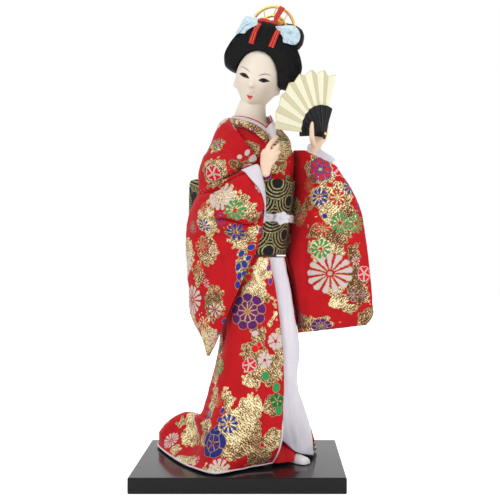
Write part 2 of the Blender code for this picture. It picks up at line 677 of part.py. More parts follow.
# Sleeves: rings of eight points, height at the left and right end, then x and y from the left over the front.
SLEEVE_RIGHT = [
    (219.6, 217.4, (-12.4, 0), (-11.4, -2.4), (-9.8, -4.4), (-8.6, -4.6), (-7.8, -3.4), (-8.6, 0), (-9.8, 2.6),
     (-11.4, 2.4)),
    (215.6, 208.6, (-14.6, 0), (-13.4, -6), (-9, -13), (-4.4, -17.6), (-0.6, -18.4), (-6, -9), (-9, 0), (-12, 5)),
    (201.8, 197.5, (-19.7, -1), (-18, -9), (-10, -16.5), (0, -21), (8, -21.4), (-2, -13), (-8, -2), (-14, 6)),
    (193.5, 192, (-24.1, -2), (-22, -12), (-12, -19.5), (0, -22.4), (11, -21.4), (-2, -15), (-8.5, -3), (-17, 5.5)),
    (184.5, 188.5, (-26.8, -4), (-24, -15), (-14, -23), (-2, -26.4), (10, -24), (-2, -17.4), (-9.5, -4), (-19, 4)),
    (174, 184.5, (-26.6, -6), (-22, -13), (-13, -18.5), (-3, -23.5), (8, -25), (-3, -18), (-10, -4), (-20, 2)),
    (170.5, 186, (-27.2, -6), (-22, -16.5), (-12, -25), (2, -33), (11.4, -31), (0, -22.5), (-10.5, -6), (-20, 0)),
    (165, 176, (-30.8, -5), (-25, -18), (-13, -28), (4, -34.5), (14.4, -29.5), (2, -23.8), (-10.5, -8), (-22, -2)),
    (158, 165, (-32.8, -4), (-27, -18), (-14, -30), (4, -35), (15.8, -28.5), (3, -24), (-10.5, -8), (-23, -2)),
    (151.5, 153, (-34.2, -3), (-28, -18), (-15, -29.5), (3, -34), (15, -27.5), (3, -23.8), (-10.5, -8), (-24, -2)),
    (147, 146, (-34.9, -3), (-28, -17), (-15, -25), (2, -30), (14.4, -27), (3, -23.5), (-11, -8), (-24, -2)),
    (143, 141, (-35.2, -2), (-28, -15), (-15, -21), (0, -25.5), (12.8, -26), (2, -22.6), (-11, -8), (-24, -1)),
    (134, 132, (-35, -2), (-28, -15), (-15, -22), (0, -26), (10, -25.5), (0, -21.5), (-12, -8), (-24, 0)),
    (122, 121, (-34.2, -2), (-28, -14), (-16, -22), (-4, -26.5), (4, -25.5), (-4, -21), (-15, -9), (-24, 1)),
    (108, 108, (-33.4, -2.5), (-28, -13), (-18, -22), (-8, -26), (-1.4, -25), (-9, -20), (-18, -9), (-26, 1)),
    (93, 92, (-32.4, -4), (-28, -13), (-21, -20.5), (-13, -24), (-7.9, -23.5), (-14, -18), (-21, -9), (-27, -1)),
    (78, 77, (-24.8, -8), (-23, -13), (-20, -17), (-16.5, -18.5), (-14.2, -17.5), (-17, -14), (-20, -10), (-23, -7)),
    (67.5, 67.5, (-21.2, -13), (-20.8, -14), (-20.1, -14.4), (-19.4, -14.2), (-19, -13.4), (-19.4, -12.6),
     (-20.1, -12.2), (-20.8, -12.4)),
]
SLEEVE_LEFT = [
    (199.5, 197, (34.4, 2), (37.2, -5), (40, -11), (43, -12), (45.5, -10.5), (43, -5), (40, 1), (36.5, 5)),
    (197, 190, (34, 6), (37.4, -4), (44, -14.5), (52, -15), (59.4, -11), (54, -4), (46, 3), (38, 9)),
    (188, 182, (33.6, 9), (37.6, -3), (46, -16), (57, -16.5), (65.2, -11), (58, -3), (47, 5), (38, 12)),
    (177, 172, (32.8, 11), (37.2, -1), (49, -18), (62, -17), (71.9, -11), (63, -3), (49, 6), (38, 14)),
    (163, 160, (31.6, 12), (36.2, 0), (48, -17.5), (66, -18), (76.9, -11), (66, -3), (50, 6), (38, 15)),
    (148, 146, (30.2, 11), (34.4, -1), (47, -18), (67, -18.5), (80, -11), (67, -3), (50, 5), (38, 14)),
    (132, 130, (31.6, 5.5), (34.0, -5), (46, -18.5), (68, -19), (81.7, -11), (68, -4), (51, 2), (40, 8)),
    (116, 115, (34.4, -7), (39.5, -15), (51, -20), (69, -19), (83.4, -11), (69, -6), (52, -4), (41, -4)),
    (100, 101, (35.8, -9.5), (42, -16), (52, -19.5), (70, -18), (84.7, -11.5), (70, -7), (53, -6), (43, -6)),
    (88, 93, (36.6, -10.5), (43, -14.5), (53, -17), (70, -16), (84.8, -12), (70, -9), (53, -8.5), (43, -8.5)),
    (82, 87, (37.2, -11), (43, -12.8), (53, -14), (68, -13.5), (80.5, -12), (68, -10.5), (53, -10), (43, -10)),
]


def ring_net(table):
    rings = []
    for z_left, z_right, *points in table:
        x_left = points[0][0]
        x_right = points[4][0]
        ring = []
        for x, y in points:
            t = (x - x_left) / (x_right - x_left)
            ring.append((x, y, z_left + (z_right - z_left) * t))
        rings.append(ring)
    return np.array(rings)


def net_point(net, u, v, offset):
    """Point over a ring net, pushed outwards."""
    def at(a, b):
        ring = np.array([sample(net[:, i], b) for i in range(net.shape[1])])
        return sample(ring, a, True)
    step = 0.05
    top = len(net) - 1.0
    du = at(u + step, v) - at(u - step, v)
    dv = at(u, min(v + step, top)) - at(u, max(v - step, 0.0))
    normal = np.cross(dv, du)
    return at(u, v) + normal / np.linalg.norm(normal) * offset


def build_sleeves():
    right = ring_net(SLEEVE_RIGHT)
    left = ring_net(SLEEVE_LEFT)
    loft("sleeve_right", "brocade_red", grid(right, 25, 14, True))
    loft("sleeve_left", "brocade_red", grid(left, 16, 14, True))
    # White lining seen as a wedge at the mouth of the lowered sleeve.
    rows = [(5.9, 3.05, 4.5), (6.6, 3.25, 4.5), (7.4, 3.6, 4.5), (8.2, 3.85, 4.5), (9.2, 4.05, 4.4)]
    rows = spline(rows, 7)
    mix = (0.0, 0.5, 1.0)
    outer = np.array([[net_point(right, a + (b - a) * m, v, 1.1) for m in mix] for v, a, b in rows])
    inner = np.array([[net_point(right, a + (b - a) * m, v, GAP) for m in mix] for v, a, b in rows])
    sheet("sleeve_right_lining", "cloth_white", outer, inner)
    # White cuff standing out of the raised sleeve.
    along = np.array([0.86, 0.0, -0.5])
    up = np.array([0.5, 0.0, 0.86])
    rings = []
    for h, a, b in ((-5.0, 8.6, 3.0), (-1.0, 9.4, 3.6), (2.0, 9.8, 3.9), (3.4, 9.4, 3.6)):
        ring = []
        for i in range(16):
            t = i * 2 * math.pi / 16
            ring.append(np.array([50.6, -11.6, 194.4]) + up * h + along * a * math.cos(t)
                        + np.array([0.0, b * math.sin(t), 0.0]))
        rings.append(ring)
    loft("sleeve_left_cuff", "cloth_white", rings)


def joined(name, colour, bodies):
    """One body made from several overlapping lofts."""
    main = loft(name, colour, bodies[0])
    for k, rings in enumerate(bodies[1:]):
        extra = loft(name + "_blank", colour, rings)
        combine(main, extra, "UNION")
        del parts[name + "_blank"]
        bpy.data.objects.remove(extra, do_unlink=True)
    return main


def build_hands():
    palm = tube([(16.6, -29.6, 179.8), (16.6, -30.0, 184.0), (17.8, -30.2, 189.0), (18.6, -30.2, 194.0),
                 (19.0, -29.6, 198.4), (19.8, -29.2, 200.6)], (2.6, 3.4, 4.8, 5.0, 3.8, 2.4), 10, 0.55)
    index = tube([(19.0, -29.4, 197.6), (21.4, -28.6, 202.2), (23.4, -27.6, 204.2), (24.4, -27.0, 204.9)],
                 (1.7, 1.6, 1.35, 0.8), 6)
    curl = tube([(20.0, -30.6, 192.6), (22.6, -30.6, 195.4), (24.4, -29.6, 197.4), (24.0, -28.4, 198.6)],
                (1.6, 1.6, 1.5, 1.0), 6)
    joined("hand_right", "hand_flesh", [palm, index, curl])
    palm = tube([(48.6, -12.0, 194.0), (48.2, -14.2, 198.6), (48.8, -16.2, 202.6), (49.9, -16.8, 206.6),
                 (50.6, -16.5, 209.6)], (3.2, 3.2, 3.9, 3.8, 2.4), 10, 0.6)
    finger = tube([(51.1, -16.4, 206.6), (53.8, -16.0, 209.8), (54.9, -16.4, 212.4), (54.7, -16.7, 214.0)],
                  (1.7, 1.6, 1.4, 0.8), 6)
    thumb = tube([(47.0, -16.4, 200.4), (46.4, -22.0, 200.8), (45.2, -28.6, 203.6), (44.9, -31.0, 209.0),
                  (45.3, -31.2, 213.6)], (1.6, 1.7, 1.6, 1.45, 0.8), 6)
    joined("hand_left", "hand_flesh", [palm, finger, thumb])


# Skirt with train: rows from the waist to the hem, columns from the front edge round the left and back.
SKIRT = [
    [(18.5, -18, 130.4), (9, -19.5, 130.4), (-1, -15.5, 130.4), (-8, -6, 130.4), (-9, 5, 130.4), (-5, 14, 130.4),
     (3, 19, 130.4), (13, 20, 130.4), (22, 16.5, 130.4), (29, 8, 130.4), (30.5, -2, 130.4)],
    [(22.5, -19, 112), (10, -22, 112), (-2, -18, 112), (-9.5, -7, 112), (-10.5, 6, 112), (-6, 16, 112),
     (3, 21.5, 112), (14, 22.5, 112), (24.5, 18.5, 112), (32.4, 9, 112), (34.4, -0.5, 112)],
    [(25.5, -20, 92), (10, -25, 92), (-4, -20, 92), (-11.5, -7.5, 92), (-12, 7, 92), (-7, 18, 92),
     (2, 24.5, 92), (14, 25.5, 92), (26.5, 20.5, 92), (34.8, 10, 92), (36.8, -0.5, 92)],
    [(27.4, -20.5, 72), (9, -28.5, 72), (-6, -23, 72), (-13.5, -8, 72), (-13.5, 9, 72), (-8, 21, 72),
     (1, 27.5, 72), (14, 28.5, 72), (28, 22.5, 72), (35.5, 11, 72), (35.5, 0, 72)],
    [(28, -23, 52), (8, -33, 52), (-9, -28, 52), (-18.5, -8, 52), (-16.5, 11, 52), (-11, 24, 52),
     (-1, 31, 52), (13, 32, 52), (28, 25.5, 52), (36, 13, 52), (35.5, 1, 52)],
    [(27.5, -26.5, 37), (7, -36.5, 37), (-11, -32, 37), (-22, -8, 37), (-19.5, 11, 37), (-13, 25, 37),
     (-2, 33, 37), (12, 35, 37), (28, 28.5, 37), (38, 15.5, 37), (39, 3, 37)],
    [(27.3, -28.5, 27), (6.5, -38, 27), (-13, -34.6, 27), (-25.4, -9, 27), (-23.4, 10, 25), (-20, 23.5, 23),
     (-11, 34, 23.4), (8, 37, 27), (27.5, 30.5, 27), (40, 17.5, 27), (42.5, 5, 27)],
    [(26.6, -29.5, 18), (6, -38.5, 18), (-14.5, -37.4, 17), (-27.6, -12, 16), (-29, 7, 16.5), (-37, 23.5, 20.6),
     (-27, 37, 19.6), (3, 40, 18), (26, 33.5, 18), (41.4, 21, 18), (45.6, 7, 18)],
    [(24.5, -29, 10), (5, -38, 9), (-15, -41, 8), (-28, -20, 7), (-36, -1, 7), (-49.5, 29, 13.5),
     (-38, 42, 12), (-3, 43, 11), (23, 38, 10), (42, 25, 10), (48, 9.5, 10)],
    [(21, -26, 2.8), (4, -34.5, 1.9), (-13, -45.5, 1.9), (-28, -32, 1.9), (-42, -9.5, 1.9), (-58, 29, 1.9),
     (-49, 44.5, 1.9), (-14, 47, 1.9), (18, 44, 1.9), (41, 33, 1.9), (50.5, 13, 1.9)],
]
UNDER_ROBE = [
    [(11, -16.2, 130), (18, -15.4, 130), (23, -15, 130), (26.4, -12.4, 130), (26.4, -6, 130), (25, 2, 130)],
    [(14, -18.4, 112), (22, -16.2, 112), (27, -15.6, 112), (30.0, -12.8, 112), (29.6, -6, 112), (28.4, 2, 112)],
    [(17, -19.4, 92), (25, -17.2, 92), (30, -16.4, 92), (33.4, -13, 92), (32.4, -5.5, 92), (31, 3, 92)],
    [(19, -19.8, 72), (27, -17.8, 72), (32.5, -16.8, 72), (36.4, -12, 72), (34.2, -4.5, 72), (31.8, 4, 72)],
    [(20, -22.6, 52), (27.5, -20.2, 52), (32, -18, 52), (35, -11.5, 52), (33.6, -4, 52), (31.6, 5, 52)],
    [(20, -25, 36), (27, -22.8, 36), (33, -19, 36), (38.4, -9.5, 36), (37, -1.5, 36), (34.2, 7, 36)],
    [(20, -26.5, 25), (27, -24.6, 25), (35, -19, 23), (43, -7, 22), (41.6, 1, 22), (37.8, 10, 22)],
    [(19, -25.6, 17.5), (26.5, -24.4, 16.5), (36, -17, 7.4), (47, -2.6, 1.8), (45.6, 5, 1.8), (41.6, 14, 1.8)],
]


def build_skirt():
    outer = grid(SKIRT, 15, 25)
    normals = grid_normals(outer)
    centre = outer.mean(axis=(0, 1))
    if np.sum(normals * (outer - centre)) < 0:
        normals = -normals
    inner = outer - normals * CLOTH
    inner[..., 2] = np.maximum(inner[..., 2], FLOOR)
    outer[..., 2] = np.maximum(outer[..., 2], FLOOR)
    inner[0, :, 2] = 130.4
    sheet("kimono_skirt", "brocade_red", outer, inner)
    outer = grid(UNDER_ROBE, 10, 9)
    normals = grid_normals(outer)
    if np.sum(normals * (outer - np.array([10.0, 5.0, 60.0]))) < 0:
        normals = -normals
    inner = outer - normals * 0.8
    inner[..., 2] = np.maximum(inner[..., 2], FLOOR)
    sheet("under_robe_white", "cloth_white", outer, inner)
    rings = []
    levels = ((58.0, 17.0, 0.0, 11.5, 12.5), (36.0, 19.0, -1.0, 13.5, 15.0), (18.0, 20.5, -2.5, 16.5, 18.0),
              (6.0, 21.0, -3.5, 18.6, 19.6))
    for z, cx, cy, rx, ry in levels:
        rings.append(ellipse((cx, cy, z), rx, ry, 16))
    hem = ellipse((21.0, -3.8, 2.0), 19.0, 20.0, 16)
    rings.append(hem)
    inside = []
    for z, cx, cy, rx, ry in ((2.0, 21.0, -3.8, 19.0, 20.0),) + levels[::-1]:
        inside.append(ellipse((cx, cy, z), rx - 0.9, ry - 0.9, 16))
    hoop("under_skirt_red", "cloth_red", rings + inside)


def build_feet():
    def foot(name, heel, toe):
        heel = np.array(heel, dtype=float)
        toe = np.array(toe, dtype=float)
        axis = toe - heel
        length = np.linalg.norm(axis)
        axis = axis / length
        side = np.array([-axis[1], axis[0]])
        rings = []
        for t, half, high in ((0.0, 2.2, 6.5), (0.06, 3.3, 8.6), (0.25, 3.6, 9.0), (0.45, 3.7, 6.8),
                              (0.7, 4.3, 4.9), (0.9, 4.1, 3.9), (0.98, 3.0, 3.0), (1.0, 1.8, 2.0)):
            centre = heel + axis * length * t
            ring = []
            for c, s in ((-1.0, 0.0), (-1.0, 0.45), (-0.7, 0.85), (0.0, 1.0), (0.7, 0.85), (1.0, 0.45),
                         (1.0, 0.0), (0.0, 0.0)):
                p = centre + side * half * c
                ring.append((p[0], p[1], FLOOR + 0.05 + high * s))
            rings.append(ring)
        loft(name, "tabi_white", rings)
    foot("tabi_left", (22.0, 0.0), (43.0, -19.8))
    foot("tabi_right", (8.0, -3.0), (18.4, -17.6))
    carve("under_skirt_red", ["tabi_left", "tabi_right"])


# Folding fan: pivot, and the angles of its two outer ribs.
PIVOT = np.array([52.0, -22.0, 207.0])
FAN_START = math.radians(74.0)
FAN_END = math.radians(181.0)
FAN_TURN = math.radians(40.0)
LEAF_IN = 17.8


def fan_turned(along, depth, up):
    """Fan plane to doll units, turned with the body."""
    c = math.cos(FAN_TURN)
    s = math.sin(FAN_TURN)
    return np.array([along * c - depth * s, along * s + depth * c, up])


def fan_point(radius, angle, depth):
    return PIVOT + fan_turned(radius * math.cos(angle), depth, radius * math.sin(angle))


def build_fan():
    count = FAN_PLEATS * 2 + 1
    outer = []
    inner = []
    for k in range(count):
        a = FAN_START + (FAN_END - FAN_START) * k / (count - 1)
        fold = 0.9 if k % 2 else -0.9
        row_o = []
        row_i = []
        for r in (LEAF_IN, (LEAF_IN + FAN_RADIUS) / 2, FAN_RADIUS):
            grow = fold * (0.5 + 0.9 * (r - LEAF_IN) / (FAN_RADIUS - LEAF_IN))
            row_o.append(fan_point(r, a, grow - 0.16))
            row_i.append(fan_point(r, a, grow + 0.16))
        outer.append(row_o)
        inner.append(row_i)
    sheet("fan_leaf", "fan_paper", np.array(outer), np.array(inner), smooth=False)
    pitch = 0.58
    for k in range(FAN_RIBS):
        a = FAN_START + (FAN_END - FAN_START) * (k + 0.02 * (1 if k == 0 else -1 if k == FAN_RIBS - 1 else 0)) / (FAN_RIBS - 1)
        depth = (k - (FAN_RIBS - 1) / 2) * pitch
        rings = []
        for r, half in ((-3.2, 1.0), (0.0, 1.45), (6.0, 1.2), (LEAF_IN - GAP, 1.75)):
            mix = max(r, 0.0) / LEAF_IN
            y = depth * (1 - 0.35 * mix)
            c = fan_point(r, a, y)
            side = fan_turned(-math.sin(a), 0.0, math.cos(a)) * half
            thick = fan_turned(0.0, 0.17, 0.0)
            rings.append([c - side - thick, c + side - thick, c + side + thick, c - side + thick])
        loft("fan_rib_%02d" % (k + 1), "fan_lacquer", rings, smooth=False)
    head = (FAN_RIBS - 1) / 2 * pitch + 0.17 + GAP
    rings = []
    for y, r in ((-head - 0.7, 0.5), (-head - 0.5, 0.9), (-head, 1.0)):
        rings.append([PIVOT + fan_turned(r * math.cos(t), y, r * math.sin(t))
                      for t in np.arange(12) * math.pi / 6])
    loft("fan_rivet", "gold_metal", rings)


build_stand()
build_head()
build_hair()
build_ornaments()
build_bodice()
build_obi()
build_sleeves()
build_hands()
build_skirt()
build_feet()
build_fan()
carve("sleeve_left", ["sleeve_left_cuff"])
carve("sleeve_left_cuff", ["hand_left"])
carve("sleeve_right", ["hand_right"])
carve("sleeve_right_lining", ["hand_right"])
carve("kimono_bodice", ["sleeve_right", "sleeve_left", "head_and_neck"])
carve("obi_band", ["sleeve_right", "sleeve_left"])
carve("obijime_cord", ["sleeve_right", "sleeve_left"])
carve("collar_right", ["sleeve_right"])
carve("sleeve_right_lining", ["sleeve_right"])
carve("obijime_knot", ["obijime_cord"])
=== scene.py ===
import json
import math

import bmesh
import bpy
import numpy as np
from mathutils import Euler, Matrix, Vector
from mathutils.bvhtree import BVHTree

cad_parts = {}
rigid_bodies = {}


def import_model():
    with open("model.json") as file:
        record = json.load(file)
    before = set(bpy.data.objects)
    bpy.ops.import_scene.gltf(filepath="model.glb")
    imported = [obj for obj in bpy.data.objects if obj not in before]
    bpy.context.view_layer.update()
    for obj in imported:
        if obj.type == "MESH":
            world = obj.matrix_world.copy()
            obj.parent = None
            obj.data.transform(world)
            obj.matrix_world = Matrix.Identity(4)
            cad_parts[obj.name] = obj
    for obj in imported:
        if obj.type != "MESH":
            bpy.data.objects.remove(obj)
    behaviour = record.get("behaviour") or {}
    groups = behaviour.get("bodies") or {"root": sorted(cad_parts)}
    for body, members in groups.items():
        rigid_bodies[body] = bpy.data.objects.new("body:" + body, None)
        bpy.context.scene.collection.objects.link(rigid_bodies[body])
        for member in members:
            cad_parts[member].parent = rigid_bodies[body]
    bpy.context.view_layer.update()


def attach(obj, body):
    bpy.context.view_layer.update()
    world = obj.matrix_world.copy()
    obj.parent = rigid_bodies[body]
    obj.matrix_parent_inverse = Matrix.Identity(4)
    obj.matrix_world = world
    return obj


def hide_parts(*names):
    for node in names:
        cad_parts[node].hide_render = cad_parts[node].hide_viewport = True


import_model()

BASE_HEIGHT = 9.75
CAMERA = (23.0, -545.0, 134.65)
FOCAL = 838.0           # focal length in the photograph's pixels
MIDDLE = (276.0, 250.0)  # pixel that the camera points at


# Doll units are millimetres above the plinth's top.
def metres(points):
    return (np.asarray(points, float) + [0.0, 0.0, BASE_HEIGHT]) * 0.001


def weights(f):
    """Catmull-Rom weights of four neighbouring points."""
    f = np.asarray(f, float)
    return np.stack([-0.5 * f + f * f - 0.5 * f ** 3, 1 - 2.5 * f * f + 1.5 * f ** 3,
                     0.5 * f + 2 * f * f - 1.5 * f ** 3, -0.5 * f * f + 0.5 * f ** 3], -1)


def stops(count, t, closed):
    """Indices and fractions of the four points around each parameter."""
    t = np.asarray(t, float)
    if closed:
        k = np.floor(t).astype(int)
        return (k[..., None] + np.arange(-1, 3)) % count, t - k
    t = np.clip(t, 0, count - 1)
    k = np.minimum(t.astype(int), count - 2)
    return k[..., None] + np.arange(4), t - k


def extended(points):
    return np.concatenate([[2 * points[0] - points[1]], points, [2 * points[-1] - points[-2]]])


def curve(points, t, closed=False):
    """Points of a smooth curve at the parameters t."""
    points = np.asarray(points, float)
    index, f = stops(len(points), t, closed)
    if not closed:
        points = extended(points)
    return np.einsum("...k,...kc->...c", weights(f), points[index])


def smooth_line(points, count, closed=False):
    n = len(points)
    return curve(points, np.arange(count) / count * n if closed else np.linspace(0, n - 1, count), closed)


def surface(net, u, v, closed=True):
    """Points of a smooth surface: u across the net's columns, v down its rows."""
    net = np.asarray(net, float)
    rows, columns = net.shape[:2]
    iv, fv = stops(rows, v, False)
    iu, fu = stops(columns, u, closed)
    net = extended(net)
    if not closed:
        net = np.swapaxes(extended(np.swapaxes(net, 0, 1)), 0, 1)
    block = net[iv[..., :, None], iu[..., None, :]]
    return np.einsum("...i,...j,...ijc->...c", weights(fv), weights(fu), block)


def net_grid(net, rows, columns, closed=True, low=0.0, high=None):
    """A fine grid over a net: rows of points, one column more than a closed ring needs."""
    high = len(net) - 1 if high is None else high
    across = len(net[0]) if closed else len(net[0]) - 1
    v, u = np.meshgrid(np.linspace(low, high, rows), np.linspace(0, across, columns), indexing="ij")
    return surface(net, u, v, closed)


def grid_normals(p, closed=False):
    down = np.gradient(p, axis=0)
    if closed:
        across = np.empty_like(p)
        across[:, 1:-1] = p[:, 2:] - p[:, :-2]
        across[:, 0] = across[:, -1] = p[:, 1] - p[:, -2]
    else:
        across = np.gradient(p, axis=1)
    n = np.cross(across, down)
    return n / np.maximum(np.linalg.norm(n, axis=2, keepdims=True), 1e-9)


def outward(p, n, centre=None):
    """Normals of a grid turned away from its middle."""
    middle = p.reshape(-1, 3).mean(0) if centre is None else np.asarray(centre, float)
    return -n if np.sum(n * (p - middle)) < 0 else n


# Noise from a few seeded sine waves, the same at each run.
def ripple(p, size, seed, octaves=3):
    """Soft noise of points, about -1 to 1, with the given feature size."""
    rng = np.random.default_rng(seed)
    out = np.zeros(p.shape[:-1])
    amount = 1.0
    total = 0.0
    for _ in range(octaves):
        for _ in range(5):
            k = rng.normal(size=3)
            k *= 2 * math.pi / (size * rng.uniform(0.8, 1.5)) / np.linalg.norm(k)
            out += amount * np.sin(p @ k + rng.uniform(0, 6.28))
        total += amount * 2.2
        amount *= 0.5
        size *= 0.5
    return out / total


# Mesh helpers.
pieces = {}


def add_piece(name, verts, faces, mat, nodes=(), uvs=None, smooth=True):
    """A mesh piece from points in doll units. uvs holds one pair per face corner."""
    mesh = bpy.data.meshes.new(name)
    mesh.from_pydata([tuple(v) for v in metres(verts)], [], [tuple(int(i) for i in f) for f in faces])
    if uvs is not None:
        layer = mesh.uv_layers.new(name="UVMap")
        layer.data.foreach_set("uv", np.asarray(uvs, np.float32).ravel())
    mesh.polygons.foreach_set("use_smooth", [smooth] * len(mesh.polygons))
    obj = bpy.data.objects.new(name, mesh)
    bpy.context.scene.collection.objects.link(obj)
    if mat is not None:
        mesh.materials.append(mat)
    return settle(obj, nodes)


def settle(obj, nodes=()):
    """The piece rides on the doll and stands for CAD nodes."""
    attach(obj, "root")
    if nodes:
        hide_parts(*nodes)
    pieces[obj.name] = obj
    return obj


def cloth_uv(p):
    """Distances in millimetres across and down a grid."""
    across = np.linalg.norm(np.diff(p, axis=1), axis=2)
    down = np.linalg.norm(np.diff(p, axis=0), axis=2).mean(1)
    u = np.concatenate([np.zeros((len(p), 1)), np.cumsum(across, axis=1)], axis=1)
    u = u / np.maximum(u[:, -1:], 1e-6) * u[:, -1].mean()
    v = np.concatenate([[0.0], np.cumsum(down)])[:, None] * np.ones((1, p.shape[1]))
    return np.stack([u, -v], -1)


class Builder:
    """Collects vertices and faces with a pair of coordinates per corner."""

    def __init__(self):
        self.verts = []
        self.count = 0
        self.faces = []
        self.uvs = []

    def add(self, points):
        points = np.asarray(points, float).reshape(-1, 3)
        self.verts.append(points)
        first = self.count
        self.count += len(points)
        return first

    def grid(self, p, uv=None, closed=False, flip=False):
        """Quads over a grid. A closed grid's last column repeats its first."""
        rows, columns = p.shape[:2]
        uv = cloth_uv(p) if uv is None else uv
        wide = columns - 1 if closed else columns
        first = self.add(p[:, :wide])
        r, c = np.meshgrid(np.arange(rows - 1), np.arange(columns - 1), indexing="ij")
        quads = np.stack([np.stack([r, c], -1), np.stack([r, c + 1], -1),
                          np.stack([r + 1, c + 1], -1), np.stack([r + 1, c], -1)], 2).reshape(-1, 4, 2)
        if flip:
            quads = quads[:, ::-1]
        self.faces += (first + quads[..., 0] * wide + quads[..., 1] % wide).tolist()
        self.uvs.append(uv[quads[..., 0], quads[..., 1]].reshape(-1, 2))
        return first

    def fan(self, ring, centre, flip=False):
        """Closes a ring of vertex numbers with triangles to a middle point."""
        mid = self.add([centre])
        ring = list(ring)
        for i, a in enumerate(ring):
            b = ring[(i + 1) % len(ring)]
            self.faces.append([b, a, mid] if flip else [a, b, mid])
            self.uvs.append(np.zeros((3, 2)))

    def strip(self, a, b):
        """Quads between two equal rows of vertex numbers."""
        for i in range(len(a) - 1):
            self.faces.append([a[i], a[i + 1], b[i + 1], b[i]])
            self.uvs.append(np.zeros((4, 2)))

    def piece(self, name, mat, nodes=(), smooth=True, tidy=True):
        obj = add_piece(name, np.concatenate(self.verts), self.faces, mat, nodes,
                        np.concatenate(self.uvs), smooth)
        if tidy:
            bm = bmesh.new()
            bm.from_mesh(obj.data)
            bmesh.ops.recalc_face_normals(bm, faces=bm.faces)
            bm.to_mesh(obj.data)
            bm.free()
        return obj


def shell(name, outer, thick, mat, nodes=(), normals=None, closed=False, inner=None):
    """Cloth of some thickness over a grid, with closed edges."""
    if inner is None:
        n = outward(outer, grid_normals(outer, closed)) if normals is None else normals
        inner = outer - n * thick
    b = Builder()
    rows, columns = outer.shape[:2]
    wide = columns - 1 if closed else columns
    uv = cloth_uv(outer)
    top = b.grid(outer, uv, closed)
    low = b.grid(inner, uv, closed, flip=True)
    order = list(range(wide)) + ([0] if closed else [])
    b.strip([top + i for i in order], [low + i for i in order])
    last = (rows - 1) * wide
    b.strip([low + last + i for i in order], [top + last + i for i in order])
    if not closed:
        b.strip([low + r * wide for r in range(rows)], [top + r * wide for r in range(rows)])
        b.strip([top + r * wide + wide - 1 for r in range(rows)], [low + r * wide + wide - 1 for r in range(rows)])
    return b.piece(name, mat, nodes)


def closed_tube(b, p, uv=None):
    """A grid of closed rings with both ends capped."""
    rows, columns = p.shape[:2]
    first = b.grid(p, uv, True)
    wide = columns - 1
    b.fan([first + i for i in range(wide)], p[0, :-1].mean(0), flip=True)
    b.fan([first + (rows - 1) * wide + i for i in range(wide)], p[-1, :-1].mean(0))
    return first


def tube_grid(path, radius, sides=8, flat=1.0, hint=(0.0, 1.0, 0.05)):
    """Rings of round or flattened section along a path."""
    path = np.asarray(path, float)
    radii = np.broadcast_to(np.asarray(radius, float), (len(path),))
    tangent = np.gradient(path, axis=0)
    tangent /= np.linalg.norm(tangent, axis=1, keepdims=True)
    side = np.cross(tangent, hint)
    side /= np.linalg.norm(side, axis=1, keepdims=True)
    other = np.cross(tangent, side)
    a = np.linspace(0, 2 * math.pi, sides + 1)
    return (path[:, None] + radii[:, None, None]
            * (np.cos(a)[None, :, None] * side[:, None] + flat * np.sin(a)[None, :, None] * other[:, None]))


# The photograph's projection, which places prints and creases.
def project(p):
    """Doll units to the photograph's pixels."""
    p = np.asarray(p, float)
    s = (p[..., 1] - CAMERA[1]) / FOCAL
    return np.stack([MIDDLE[0] + (p[..., 0] - CAMERA[0]) / s, MIDDLE[1] - (p[..., 2] - CAMERA[2]) / s], -1)


def sight(px, py):
    """Start and direction of the line of sight through a pixel, in doll units."""
    d = np.array([(px - MIDDLE[0]) / FOCAL, 1.0, (MIDDLE[1] - py) / FOCAL])
    return np.array(CAMERA), d / np.linalg.norm(d)


def tree_of(obj):
    mesh = obj.data
    return BVHTree.FromPolygons([v.co for v in mesh.vertices], [p.vertices for p in mesh.polygons])


def press(p, n, lines, centre=None):
    """Creases along pixel lines: (points, depth, width) push the front of a grid in."""
    pixels = project(p)
    facing = np.clip(-n[..., 1] * 2.5, 0.0, 1.0)
    out = p.copy()
    for points, depth, width in lines:
        line = smooth_line(points, 24) if len(points) > 2 else np.linspace(points[0], points[1], 16)
        d = np.linalg.norm(pixels[..., None, :] - line, axis=-1)
        nearest = d.argmin(-1)
        t = nearest / (len(line) - 1)
        fade = np.clip(np.minimum(t, 1 - t) * 6 + 0.25, 0, 1)
        push = depth * np.exp(-(d.min(-1) / width) ** 2) * facing * fade
        out -= n * push[..., None]
    return out


# Material helpers: scalars that add and multiply as Math nodes.
class Scalar:
    def __init__(self, tree, socket):
        self.tree = tree
        self.socket = socket

    def op(self, kind, *others, clamp=False):
        node = self.tree.nodes.new("ShaderNodeMath")
        node.operation = kind
        node.use_clamp = clamp
        for i, value in enumerate((self,) + others):
            if isinstance(value, Scalar):
                self.tree.links.new(value.socket, node.inputs[i])
            else:
                node.inputs[i].default_value = value
        return Scalar(self.tree, node.outputs[0])

    def __add__(self, other):
        return self.op("ADD", other)

    def __radd__(self, other):
        return self.op("ADD", other)

    def __sub__(self, other):
        return self.op("SUBTRACT", other)

    def __rsub__(self, other):
        return self.op("MULTIPLY_ADD", -1.0, other)

    def __mul__(self, other):
        return self.op("MULTIPLY", other)

    def __rmul__(self, other):
        return self.op("MULTIPLY", other)

    def __truediv__(self, other):
        return self.op("DIVIDE", other)

    def step(self, low, high):
        """0 below low, 1 above high, smooth between."""
        node = self.tree.nodes.new("ShaderNodeMapRange")
        node.interpolation_type = "SMOOTHSTEP"
        self.tree.links.new(self.socket, node.inputs[0])
        for i, value in enumerate((low, high, 0.0, 1.0)):
            if isinstance(value, Scalar):
                self.tree.links.new(value.socket, node.inputs[i + 1])
            else:
                node.inputs[i + 1].default_value = value
        return Scalar(self.tree, node.outputs[0])


